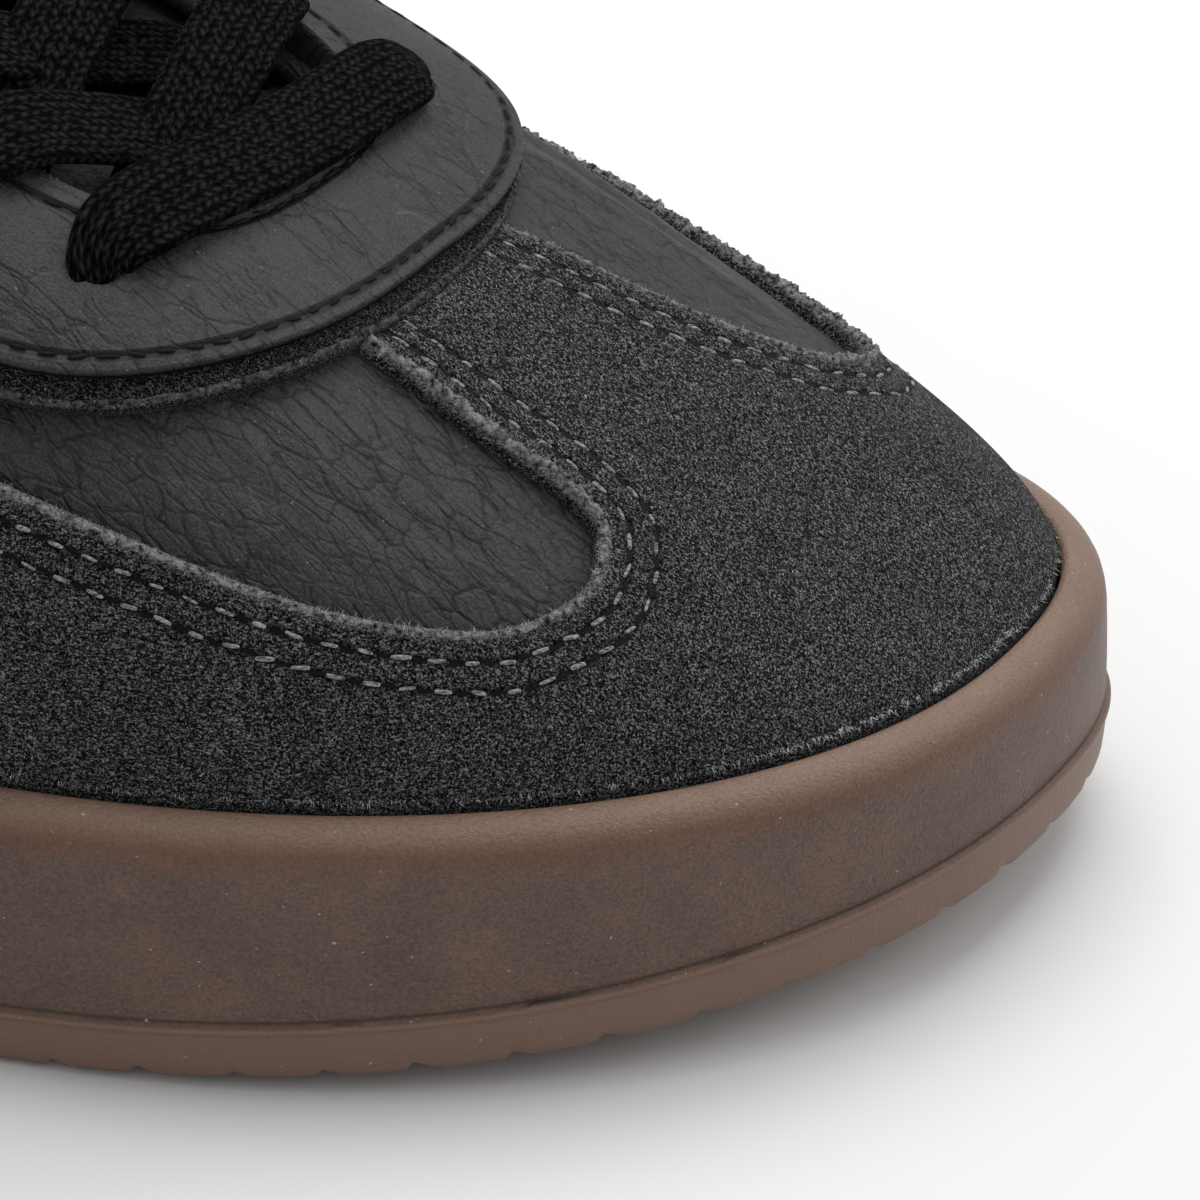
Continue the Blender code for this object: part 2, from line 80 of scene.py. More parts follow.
# The last, as the solids have it: sections fan out from the crest to the feather line
last = {
    "ballX": 38.0, "ballHalf": 44.8,
    "toeReach": 97.6, "toeSwing": 18.9, "toeRoundX": 3.24, "toeRoundY": 2.32,
    "heelX": -100.3, "heelHalf": 32.0, "heelReach": 37.0, "heelShift": 2.0,
    "heelRoundX": 2.3, "heelRoundY": 2.2,
    "waistIn": 7.0, "yShift": -1.3,
    "featherFore": 24.4, "featherHeel": 31.0,
    "heelShare": 0.18, "toeShare": 0.61,
    "ankleX": -60.0, "toeTopX": 95.0,
    "levelBehind": -20.0, "levelBlend": 30.0,
    "crestGrowth": 1.1,
}
featherRise = table("x rise", [(-100, 1), (-60, 0.85), (-20, 0.3), (20, 0)])
crest = table("x z", [
    (-70, 132), (-45, 121), (-20, 109), (10, 95),
    (40, 77.0), (60, 68.2), (78, 59.3), (95, 49.7), (118, 38.5)])
fullness = table("share across up", [
    (0.0, 5.0, 2.5), (0.18, 5.0, 2.5), (0.35, 3.4, 2.0), (0.47, 2.6, 2.0),
    (0.61, 2.8, 2.6), (0.86, 3.3, 2.05), (1.0, 2.2, 1.65)])


def ease(t):
    t = np.clip(t, 0, 1)
    return t * t * (3 - 2 * t)


def along(curve, column, at):
    xs = next(iter(curve.values()))
    ys = curve[column]
    step = np.diff(xs)
    rise = np.diff(ys) / step
    lean = np.concatenate([rise[:1], np.zeros(len(rise) - 1), rise[-1:]])
    for i in range(1, len(rise)):
        if rise[i - 1] * rise[i] > 0:
            lean[i] = 2 * rise[i - 1] * rise[i] / (rise[i - 1] + rise[i])
    at = np.clip(at, xs[0], xs[-1])
    i = np.clip(np.searchsorted(xs, at) - 1, 0, len(step) - 1)
    t = (at - xs[i]) / step[i]
    start = (1 + 2 * t) * (1 - t) ** 2 * ys[i] + t * (1 - t) ** 2 * step[i] * lean[i]
    return start + t * t * (3 - 2 * t) * ys[i + 1] + t * t * (t - 1) * step[i] * lean[i + 1]


def forwardOf(x):
    return np.clip((x - last["ballX"]) / last["toeReach"], 0, 1)


def middle(x):
    behind = 1 - ease((x - last["heelX"]) / (last["ballX"] - last["heelX"]))
    return last["toeSwing"] * forwardOf(x) ** 2 + last["heelShift"] * behind + last["yShift"]


def feather(side, share):
    f = last
    angle = np.clip(share / f["heelShare"], 0, 1) * np.pi / 2
    heelX = f["heelX"] - f["heelReach"] * np.cos(angle) ** (2 / f["heelRoundX"])
    heelY = f["heelShift"] + side * f["heelHalf"] * np.sin(angle) ** (2 / f["heelRoundY"])
    t = np.clip((share - f["heelShare"]) / (f["toeShare"] - f["heelShare"]), 0, 1)
    hollow = f["waistIn"] * np.sin(np.pi * t) ** 2 * (np.asarray(side) > 0)
    waistX = f["heelX"] + (f["ballX"] - f["heelX"]) * t
    half = f["heelHalf"] + (f["ballHalf"] - f["heelHalf"]) * ease(t) - hollow
    waistY = f["heelShift"] * (1 - ease(t)) + side * half
    turn = np.clip((share - f["toeShare"]) / (1 - f["toeShare"]), 0, 1)
    angle = turn ** (f["toeRoundX"] / 2) * np.pi / 2
    forward = np.sin(angle) ** (2 / f["toeRoundX"])
    toeX = f["ballX"] + f["toeReach"] * forward
    narrowing = np.clip(np.cos(angle), 0, 1) ** (2 / f["toeRoundY"])
    toeY = side * f["ballHalf"] * narrowing + f["toeSwing"] * forward ** 2
    x = np.where(share < f["heelShare"], heelX, np.where(share < f["toeShare"], waistX, toeX))
    y = np.where(share < f["heelShare"], heelY, np.where(share < f["toeShare"], waistY, toeY))
    return x, y + f["yShift"]


def featherHeight(x):
    return last["featherFore"] + (last["featherHeel"] - last["featherFore"]) * along(featherRise, "rise", x)


def crestOf(x):
    f = last
    reach = f["toeTopX"] - f["ballX"]
    front = f["ballX"] + reach * (1 - (1 - forwardOf(x)) ** (f["toeReach"] / reach))
    behind = (f["ballX"] - f["ankleX"]) / (f["ballX"] - f["heelX"])
    back = f["ankleX"] + np.clip(x - f["heelX"], 0, None) * behind
    return np.where(x > f["ballX"], front, back)


def section(side, share, grow):
    footX, footY = feather(side, share)
    topX = crestOf(footX)
    topY = middle(topX)
    topZ = along(crest, "z", topX) + grow * last["crestGrowth"]
    runX = footX - topX
    runY = footY - topY
    longer = 1 + grow / np.hypot(runX, runY)
    slope = along(crest, "z", topX + 0.5) - along(crest, "z", topX - 0.5)
    slope = slope * np.clip((topX - last["levelBehind"]) / last["levelBlend"], 0, 1)
    return topX, topY, topZ, runX * longer, runY * longer, featherHeight(footX), slope


def lastPoint(side, share, height, grow=0.0):
    share, height, grow = np.broadcast_arrays(*(np.asarray(v, float) for v in (share, height, grow)))
    topX, topY, topZ, runX, runY, footZ, slope = section(side, share, grow)
    angle = np.clip(height, 0, 1) * np.pi / 2
    out = np.clip(np.cos(angle), 0, 1) ** (2 / along(fullness, "across", share))
    up = np.sin(angle) ** (2 / along(fullness, "up", share))
    drop = topZ + slope * runX - footZ
    z = topZ + slope * runX * out - drop * (1 - up)
    return np.stack([topX + runX * out, topY + runY * out, z], -1)


def lastNormal(side, share, height, grow=0.0):
    step = 2e-4
    ahead = lastPoint(side, np.minimum(share + step, 1), height, grow)
    ahead = ahead - lastPoint(side, np.maximum(share - step, 0), height, grow)
    up = lastPoint(side, share, np.minimum(height + step, 1), grow)
    up = up - lastPoint(side, share, np.maximum(height - step, 0), grow)
    return unit(np.cross(ahead, up) * -side)


def unit(v):
    return v / np.maximum(np.linalg.norm(v, axis=-1, keepdims=True), 1e-9)


def lift(x, y, grow):
    x, y, grow = np.broadcast_arrays(*(np.asarray(v, float) for v in (x, y, grow)))
    side = np.where(y > middle(x), 1, -1)
    low = np.full(x.shape, last["heelShare"])
    high = np.ones(x.shape)
    for _ in range(40):
        share = (low + high) / 2
        topX, topY, topZ, runX, runY, footZ, slope = section(side, share, grow)
        ahead = side * ((x - topX) * runY - (y - topY) * runX) > 0
        low = np.where(ahead, share, low)
        high = np.where(ahead, high, share)
    out = np.clip(np.hypot(x - topX, y - topY) / np.hypot(runX, runY), 0, 1)
    up = (1 - out ** along(fullness, "across", share)) ** (1 / along(fullness, "up", share))
    return topZ + slope * runX * out - (topZ + slope * runX - footZ) * (1 - up)


def liftedPoint(plan, grow):
    return np.concatenate([plan, lift(plan[..., 0], plan[..., 1], grow)[..., None]], -1)


def liftedNormal(plan):
    step = 0.2
    x, y = plan[..., 0], plan[..., 1]
    dx = (lift(x + step, y, 0) - lift(x - step, y, 0)) / (2 * step)
    dy = (lift(x, y + step, 0) - lift(x, y - step, 0)) / (2 * step)
    return unit(np.stack([-dx, -dy, np.ones_like(dx)], -1))


def shareAtCrest(x):
    shares = np.linspace(last["heelShare"], 1, 4000)
    return np.interp(x, crestOf(feather(-1, shares)[0]), shares)


def firstHeight(side, share, inside):
    share = np.asarray(share, float)
    low = np.zeros_like(share)
    high = np.ones_like(share)
    for _ in range(30):
        height = (low + high) / 2
        cutAway = inside(lastPoint(side, share, height))
        low = np.where(cutAway, low, height)
        high = np.where(cutAway, height, high)
    return np.where(inside(lastPoint(side, share, np.ones_like(share))), high, 1.0)


# Openings and edges of the upper's pieces
edges = {
    "throatLean": 2.1, "throatFront": 78.4, "throatBack": -30.0, "throatHalf": 17.1, "throatRound": 13.4,
    "eyestayFront": 89.9, "eyestayRound": 28.0, "eyestayEnd": -6.0, "edgePower": 2.6,
    "trimShows": 1.5, "trimNarrows": (10.0, 70.0),
    "trimHides": 20.0, "mostHidden": 0.85,  # less of the trim shows on the inner side
    "barBack": 89.6,  # the bar's end, tucked under the trim
}
collar = table("x z", [(-140, 97), (-125, 95), (-95, 81), (-65, 76), (-35, 85), (-10, 101)])
eyestayHalf = table("x half", [(-30, 25), (0, 26.5), (30, 29), (62, 32)])
barEdge = table("share outer inner", [
    (0.78, 0.893, 0.95), (0.80, 0.888, 0.942), (0.82, 0.879, 0.931), (0.846, 0.852, 0.909),
    (0.868, 0.815, 0.872), (0.882, 0.78, 0.83), (0.89, 0.737, 0.765), (0.893, 0.70, 0.70)])
guardEdge = table("share height", [
    (0.41, 0.02), (0.48, 0.13), (0.56, 0.27), (0.65, 0.36), (0.72, 0.381), (0.80, 0.396),
    (0.846, 0.44), (0.868, 0.515), (0.882, 0.59), (0.893, 0.70)])


def axis(x):
    return middle(x) - edges["throatLean"]


def roundedHalf(x, front, half, length):
    t = np.clip((x - front + length) / length, 0, 1)
    return half * (1 - t ** edges["edgePower"]) ** (1 / edges["edgePower"])


def inThroat(p):
    x, y = p[..., 0], p[..., 1]
    half = roundedHalf(x, edges["throatFront"], edges["throatHalf"], edges["throatRound"])
    return (x > edges["throatBack"]) & (x < edges["throatFront"]) & (abs(y - axis(x)) < half)


def inOpening(p):
    return inThroat(p) | (p[..., 2] > along(collar, "z", p[..., 0]))


def inEyestay(margin):
    start, end = edges["trimNarrows"]

    def inside(p):
        x, y = p[..., 0], p[..., 1]
        hidden = np.clip((y - axis(x)) / edges["trimHides"], 0, edges["mostHidden"]) * (margin > 0)
        shows = margin * (1 - hidden)
        front = edges["eyestayFront"] + shows
        half = along(eyestayHalf, "half", x) + shows * (0.5 + 0.5 * ease((x - start) / (end - start)))
        return (x < front) & (abs(y - axis(x)) < roundedHalf(x, front, half, edges["eyestayRound"]))

    return inside


def behindBar(p):
    return p[..., 0] < edges["barBack"]


def barHeight(side, share):
    return along(barEdge, "outer" if side < 0 else "inner", share)


# Helpers that turn grids of points into pieces
def sheetOf(shape, points, flip=False, finish=0, marks=None):
    # A flat grid whose corners are moved to a grid of points, with other measures kept on them
    columns, rows = points.shape[:2]
    layers = [(shape.verts.layers.float.get(k) or shape.verts.layers.float.new(k), v)
              for k, v in (marks or {}).items()]
    made = bmesh.ops.create_grid(shape, x_segments=columns - 1, y_segments=rows - 1, size=0.5)["verts"]
    faces = {face for corner in made for face in corner.link_faces}
    for corner in made:
        c = round((corner.co.x + 0.5) * (columns - 1))
        r = round((corner.co.y + 0.5) * (rows - 1))
        corner.co = points[c, r] * mm
        for layer, values in layers:
            corner[layer] = values[c, r]
    for face in faces:
        face.material_index = finish
    if flip:
        bmesh.ops.reverse_faces(shape, faces=list(faces))


def scatterOf(shape, blocks, finish=0):
    # Many small like grids, cut apart from one long grid
    count, columns, rows = blocks.shape[:3]
    number = np.repeat(np.arange(count), columns)[:, None]
    marks = {"item": np.broadcast_to(number, (count * columns, rows))}
    sheetOf(shape, blocks.reshape(-1, rows, 3), finish=finish, marks=marks)
    item = shape.verts.layers.float["item"]
    gaps = [face for face in shape.faces if len({round(corner[item]) for corner in face.verts}) > 1]
    bmesh.ops.delete(shape, geom=gaps, context="FACES")


def newPiece(name, shape, looks, node=None, merge=0.004):
    if merge:
        bmesh.ops.remove_doubles(shape, verts=shape.verts, dist=merge * mm)
        bmesh.ops.dissolve_degenerate(shape, edges=shape.edges, dist=merge * mm)
    mesh = bpy.data.meshes.new(name)
    shape.to_mesh(mesh)
    shape.free()
    for look in looks:
        mesh.materials.append(look)
    mesh.shade_smooth()
    piece = bpy.data.objects.new(name, mesh)
    bpy.context.scene.collection.objects.link(piece)
    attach(piece, "root")
    if node:
        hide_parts(node)
    print("piece", name, len(mesh.polygons), "faces")
    return piece


def cornersOf(piece):
    mesh = piece.data
    flat = np.empty(len(mesh.vertices) * 3)
    mesh.vertices.foreach_get("co", flat)
    return flat.reshape(-1, 3) / mm


def keep(piece, name, values):
    values = np.asarray(values, np.float32)
    piece.data.attributes.new(name, "FLOAT", "POINT").data.foreach_set("value", values)


def distanceTo(points, line):
    tree = KDTree(len(line))
    for i, p in enumerate(line):
        tree.insert(p, i)
    tree.balance()
    return np.array([tree.find(p)[2] for p in points])


def travel(points):
    return np.concatenate([[0], np.cumsum(np.linalg.norm(np.diff(points, axis=0), axis=1))])


def sampled(at, run, values):
    return np.stack([np.interp(at, run, values[:, k]) for k in range(values.shape[1])], -1)


def spaced(points, pitch, others=()):
    run = travel(points)
    at = np.linspace(0, run[-1], max(2, round(run[-1] / pitch) + 1))
    return [sampled(at, run, v) for v in (points, *others)]


def keepGap(piece, name, lines, pitch=0.15):
    # How far each corner of a piece is from the nearest of some lines
    near = np.concatenate([spaced(line, pitch)[0] for line in lines])
    keep(piece, name, distanceTo(cornersOf(piece), near))


def squarish(wave, power):
    return np.sign(wave) * abs(wave) ** power


def seatOf(piece):
    mesh = piece.data
    return BVHTree.FromPolygons([v.co for v in mesh.vertices], [p.vertices for p in mesh.polygons])


def seated(seat, points):
    # The nearest places on a piece, with its normals there
    found = [seat.find_nearest(Vector(p) * mm)[:2] for p in points]
    return np.array([f[0] for f in found]) / mm, np.array([f[1] for f in found])


def rowsTo(count, low=1.0, high=1.0):
    # Shares of a strip's height, with rows that crowd towards its low or high edge as the powers grow
    t = np.linspace(0, 1, count + 1)
    return t ** low / (t ** low + (1 - t) ** high)


def stripOn(side, columns, low, high, part, grow):
    height = low[:, None] + (high - low)[:, None] * part[None, :]
    return lastPoint(side, np.asarray(columns)[:, None], height, grow)


def withFoot(grid, depth, steps=2):
    feet = [grid[:, :1] - [0, 0, depth * (steps - k) / steps] for k in range(steps)]
    return np.concatenate([*feet, grid], 1)


def edgeFrame(side, share, height, grow):
    # Points of an edge with the surface's normal and the way across the edge, up the section
    points = lastPoint(side, share, height, grow)
    normal = lastNormal(side, share, height, grow)
    run = unit(np.gradient(points, axis=0))
    return points, normal, unit(np.cross(normal, run)) * -side


def skirt(points, normal, outward, profile):
    rows = [points + outward * out + normal * rise for out, rise in profile]
    return np.stack(rows, 1)


# Materials
def newLook(name):
    look = bpy.data.materials.new(name)
    look.use_nodes = True
    tree = look.node_tree
    return look, tree, tree.nodes["Principled BSDF"]


def connect(tree, node, values):
    for key, value in values.items():
        if isinstance(value, bpy.types.NodeSocket):
            tree.links.new(value, node.inputs[key])
        else:
            node.inputs[key].default_value = value


def add(tree, kind, settings=None, **inputs):
    # Inputs go by name, or by an i and their number where several share a name
    made = tree.nodes.new("ShaderNode" + kind)
    for key, value in (settings or {}).items():
        setattr(made, key, value)
    connect(tree, made, {int(k[1:]) if k[1:].isdigit() else k: v for k, v in inputs.items()})
    return made


def maths(tree, operation, a, b=0.0, c=0.0):
    return add(tree, "Math", {"operation": operation}, i0=a, i1=b, i2=c).outputs[0]


def ramp(tree, amount, stops):
    made = add(tree, "ValToRGB", Fac=amount)
    points = made.color_ramp.elements
    while len(points) < len(stops):
        points.new(0.5)
    for point, (place, colour) in zip(points, stops):
        point.position = place
        point.color = (*colour, 1) if len(colour) == 3 else (colour[0],) * 3 + (1,)
    return made.outputs[0]


def rising(tree, amount, low, high, base=0.0, top=1.0):
    # From base to top as the amount goes from low to high
    return ramp(tree, amount, [(low, (base,)), (high, (top,))])


def blendOf(tree, amount, first, second, kind="MIX"):
    first, second = (v if isinstance(v, bpy.types.NodeSocket) else (*v, 1) for v in (first, second))
    made = add(tree, "Mix", {"data_type": "RGBA", "blend_type": kind}, i0=amount, i6=first, i7=second)
    return made.outputs[2]


def dimmed(tree, shade, tone):
    return blendOf(tree, 1.0, shade, tone, "MULTIPLY")


def inverse(tree, amount):
    return maths(tree, "SUBTRACT", 1.0, amount)


def shareOf(tree, amount, whole):
    # An amount as a share of a whole, 1 at most
    return maths(tree, "MINIMUM", maths(tree, "DIVIDE", amount, whole), 1.0)


def noise(tree, coords, scale, detail=2.0, roughness=0.5, distortion=0.0):
    made = add(tree, "TexNoise", Vector=coords, Scale=scale, Detail=detail,
               Roughness=roughness, Distortion=distortion)
    return made.outputs[0]


def bumpOf(tree, height, strength, depth, normal=None):
    made = add(tree, "Bump", Height=height, Strength=strength, Distance=depth * mm)
    if normal:
        tree.links.new(normal, made.inputs["Normal"])
    return made.outputs[0]


def placed(tree, turn=(0, 0, 0), stretch=(1, 1, 1)):
    # The object's own coordinates, turned and then stretched
    coords = add(tree, "TexCoord").outputs["Object"]
    angles = tuple(math.radians(v) for v in turn)
    sizes = tuple(1 / v for v in stretch)
    made = add(tree, "Mapping", {"vector_type": "TEXTURE"}, Vector=coords, Rotation=angles, Scale=sizes)
    return made.outputs[0]


def measured(tree, name):
    return add(tree, "Attribute", {"attribute_name": name}).outputs["Fac"]


def ridgeAt(tree, distance, place, halfWidth):
    # 1 along a line at that distance, falling to 0 beside it
    off = maths(tree, "ABSOLUTE", maths(tree, "SUBTRACT", distance, place))
    return inverse(tree, shareOf(tree, off, halfWidth))


leatherFinish = {
    "colour": (0.045, 0.045, 0.0455), "crease": (0.012, 0.012, 0.012), "pale": (0.13, 0.13, 0.13),
    # seam is painted shade that darkens the stitch grooves and the heel seam
    "seam": (0.001, 0.001, 0.001), "seamShadeGain": 1.8, "seamShadeMost": 0.98,
    "roughness": (0.42, 0.66), "specular": 0.27,
    "grain": 4000.0, "grainDepth": 0.08, "grainShown": (0.34, 0.68),
    "turn": (0, 29, 0), "stretch": (0.42, 1.0, 1.0),  # creases run forward and down
    "bend": 0.9, "patch": 0.35, "netFade": (0.12, 0.06), "creaseShadeEdge": 0.6,
    "foldDepth": 0.07, "foldShade": 0.35, "scratchTone": 0.5,
    "dust": 2700.0, "dustShown": (0.83, 0.85, 0.0, 0.7),
}
# Nets of creases, coarse and fine: cells to the metre, width and depth in mm, tone of the painted shade
# darkening them, and how much shows
creaseNets = table("scale width depth tone shown", [
    (470, 0.2, 0.085, 0.2, 0.63), (980, 0.13, 0.045, 0.45, 0.6)])
# Families of single lines: what they share, then climb, spacing, width and drift in mm, and how much shows
lineForm = {"drop": -0.7, "bend": 95.0, "fade": 260.0, "fadeRun": 0.1}
longCreases = {"climb": 0.87, "spacing": 4.6, "width": 0.2, "drift": 7.0, "shown": 0.46}
scratches = {"climb": 0.75, "spacing": 6.0, "width": 0.09, "drift": 12.0, "shown": 0.33}


def wander(tree, coords, scale, seed):
    made = add(tree, "TexNoise", {"noise_dimensions": "4D"}, Vector=coords, W=seed, Scale=scale, Detail=3.0)
    return made.outputs[0]


def lineFamily(tree, coords, seed, climb, spacing, width, drift, shown):
    # 0 on thin wandering lines that fade in and out, 1 elsewhere
    f = lineForm
    x, y, z = add(tree, "SeparateXYZ", Vector=coords).outputs
    level = maths(tree, "MULTIPLY_ADD", maths(tree, "ABSOLUTE", y), f["drop"], z)
    level = maths(tree, "MULTIPLY_ADD", x, climb, level)
    level = maths(tree, "MULTIPLY_ADD", wander(tree, coords, f["bend"], seed), drift * mm, level)
    level = maths(tree, "DIVIDE", level, spacing * mm)
    line = shareOf(tree, maths(tree, "PINGPONG", level, 0.5), width / spacing)
    hidden = rising(tree, wander(tree, coords, f["fade"], seed + 5.0), shown, shown + f["fadeRun"])
    return maths(tree, "MAXIMUM", line, hidden)


def creasesOf(tree, seed, scale, width, shown):
    # 0 on the creases of a net of stretched cells that fades in and out, 1 elsewhere
    f = leatherFinish
    before, after = f["netFade"]
    coords = placed(tree, f["turn"], f["stretch"])
    bent = add(tree, "TexNoise", Vector=coords, Scale=scale * f["bend"], Detail=2.0).outputs[1]
    reach = (f["bend"] / scale,) * 3
    bent = add(tree, "VectorMath", {"operation": "MULTIPLY_ADD"}, i0=bent, i1=reach, i2=coords).outputs[0]
    net = add(tree, "TexVoronoi", {"feature": "DISTANCE_TO_EDGE"}, Vector=bent, Scale=scale).outputs[0]
    hidden = rising(tree, wander(tree, coords, scale * f["patch"], seed), shown - before, shown + after)
    return maths(tree, "MAXIMUM", shareOf(tree, net, width * mm * scale), hidden)


def leatherLook(name, seams=(), smoother=0.0):
    f = leatherFinish
    look, tree, shader = newLook(name)
    coords = placed(tree)
    grain = noise(tree, coords, f["grain"], 2.0, 0.7)
    normal = bumpOf(tree, grain, 1.0, f["grainDepth"])
    shade = blendOf(tree, rising(tree, grain, *f["grainShown"]), f["crease"], f["colour"])
    for seed, row in enumerate(zip(*creaseNets.values())):
        scale, width, depth, tone, shown = map(float, row)
        creases = creasesOf(tree, float(seed), scale, width, shown - smoother)
        normal = bumpOf(tree, creases, 1.0, depth, normal)
        # painted shade darkening the colour in each crease
        shade = dimmed(tree, shade, rising(tree, creases, 0.0, f["creaseShadeEdge"], tone))
    folds = lineFamily(tree, coords, 4.0, *longCreases.values())
    normal = bumpOf(tree, folds, 1.0, f["foldDepth"], normal)
    # painted shade darkening the colour along the folds
    shade = dimmed(tree, shade, rising(tree, folds, 0.0, f["creaseShadeEdge"], f["foldShade"]))
    marks = inverse(tree, lineFamily(tree, coords, 9.0, *scratches.values()))
    shade = blendOf(tree, maths(tree, "MULTIPLY", marks, f["scratchTone"]), shade, f["pale"])
    dust = noise(tree, coords, f["dust"], 0.0)
    shade = blendOf(tree, rising(tree, dust, *f["dustShown"]), shade, f["pale"])
    # Seams: a groove in the bump, and painted shade darkening the colour along it
    for seam, place, halfWidth, depth in seams:
        groove = ridgeAt(tree, measured(tree, seam), place, halfWidth)
        normal = bumpOf(tree, inverse(tree, groove), 1.0, depth, normal)
        deep = maths(tree, "MINIMUM", maths(tree, "MULTIPLY", groove, f["seamShadeGain"]), f["seamShadeMost"])
        shade = blendOf(tree, deep, shade, f["seam"])
    rough = add(tree, "MapRange", Value=grain)
    connect(tree, rough, dict(zip(("To Min", "To Max"), f["roughness"])))
    connect(tree, shader, {
        "Base Color": shade, "Normal": normal,
        "Roughness": rough.outputs[0], "Specular IOR Level": f["specular"]})
    return look


suedeFinish = {
    # pit is painted shade in the nap's hollows and stitch grooves, tip a painted highlight on the fibre tips,
    # body the suede's own colour
    "pitShade": (0.002, 0.002, 0.0021), "body": (0.032, 0.032, 0.0325), "tip": (0.215, 0.215, 0.217),
    "tones": (0.48, 0.55, 0.65), "fibre": (0.45, 0.45, 0.44), "edgeGrey": (0.22, 0.22, 0.215),
    "nap": 4000.0, "lay": (18, -34), "strand": (0.5, 1.3, 1.25), "napDepth": 0.2,
    "fine": 1.6, "finePart": 0.3, "cloud": 130.0, "cloudDark": 0.8, "cloudShown": (0.3, 0.7),
    "speck": 3400.0, "speckLay": (0, 0, -40), "speckShape": (0.5, 1.4, 1.2), "speckShown": (0.77, 0.79),
    "frayShown": (0.44, 0.62, 0.05), "grooveShade": 0.8,
    "surface": {"Roughness": 0.95, "Specular IOR Level": 0.04, "Sheen Weight": 0.04, "Sheen Roughness": 0.4},
}


def napOf(tree):
    # Short strands that lie two ways, over a finer grain
    f = suedeFinish
    lays = [placed(tree, (0, 0, turn), f["strand"]) for turn in f["lay"]]
    strands = [noise(tree, coords, f["nap"], 2.0, 0.65, 0.5) for coords in lays]
    grain = noise(tree, placed(tree), f["nap"] * f["fine"], 1.0)
    longer = maths(tree, "MULTIPLY", maths(tree, "MAXIMUM", *strands), 1 - f["finePart"])
    return maths(tree, "MULTIPLY_ADD", grain, f["finePart"], longer)


def suedeLook(name, seams=(), edgeWidth=0.9, fray=1.0, tone=1.0):
    f = suedeFinish
    look, tree, shader = newLook(name)
    nap = napOf(tree)
    cloud = noise(tree, placed(tree), f["cloud"], 3.0, 0.6)
    # The nap's height paints the colour too: painted shade in its pits, painted highlight on its tips
    shade = ramp(tree, nap, list(zip(f["tones"], (f["pitShade"], f["body"], f["tip"]))))
    # tone dims the whole suede; below 1 it is painted shadow, such as the eyestay casts over the trim
    shade = dimmed(tree, shade, rising(tree, cloud, *f["cloudShown"], f["cloudDark"] * tone, tone))
    specks = noise(tree, placed(tree, f["speckLay"], f["speckShape"]), f["speck"], 1.0)
    shade = blendOf(tree, rising(tree, specks, *f["speckShown"]), shade, f["fibre"])
    normal = bumpOf(tree, nap, 1.0, f["napDepth"])
    edge = measured(tree, "edge")
    rim = inverse(tree, shareOf(tree, edge, edgeWidth))
    frayed = maths(tree, "MULTIPLY", rim, rising(tree, nap, *f["frayShown"], fray))
    shade = blendOf(tree, frayed, shade, f["edgeGrey"])
    # Stitch rows: a groove in the bump, with painted shade darkening the colour along it
    for place, halfWidth, depth in seams:
        groove = ridgeAt(tree, edge, place, halfWidth)
        normal = bumpOf(tree, inverse(tree, groove), 1.0, depth, normal)
        shade = blendOf(tree, maths(tree, "MULTIPLY", groove, f["grooveShade"]), shade, f["pitShade"])
    connect(tree, shader, {"Base Color": shade, "Normal": normal, **f["surface"]})
    return look


gumFinish = {
    # rim is a painted highlight along the gum's lit top edge
    "wall": (0.160, 0.091, 0.062), "slate": (0.066, 0.048, 0.044), "band": (0.155, 0.072, 0.044),
    "rim": (0.225, 0.14, 0.1), "strip": (0.185, 0.111, 0.082), "dust": (0.5, 0.46, 0.42),
    "turn": (0, 0, 20), "stretch": (0.8, 1.0, 1.0),
    "peel": 3500.0, "peelDepth": 0.2, "cloud": 160.0, "cloudPart": 0.22, "warp": 1.6,
    "wallShown": (0.34, 0.64), "bandShown": (0.3, 0.62, 0.72), "cloudShown": (0.25, 0.75, 0.84),
    "rimHighlightTo": 0.05, "bandFrom": 0.22, "wallFrom": (0.2, 0.42), "footShown": (0.42, 0.56, 0.8, 0.0),  # in cm
    "speck": 2600.0, "speckShown": (0.855, 0.87, 0.0, 0.55),
    "surface": {
        "Roughness": 0.46, "Specular IOR Level": 0.36, "Subsurface Weight": 0.06,
        "Subsurface Radius": (1.0, 0.35, 0.2), "Subsurface Scale": 0.6 * mm},
}
# Painted highlight on the parting ridge's flash and painted shade in the groove over it: colour, mm over the
# bottom, half width and strength
ridgeHighlightAndShade = [((0.215, 0.13, 0.09), 5.0, 0.5, 0.55), ((0.03, 0.017, 0.013), 5.62, 0.3, 0.8)]


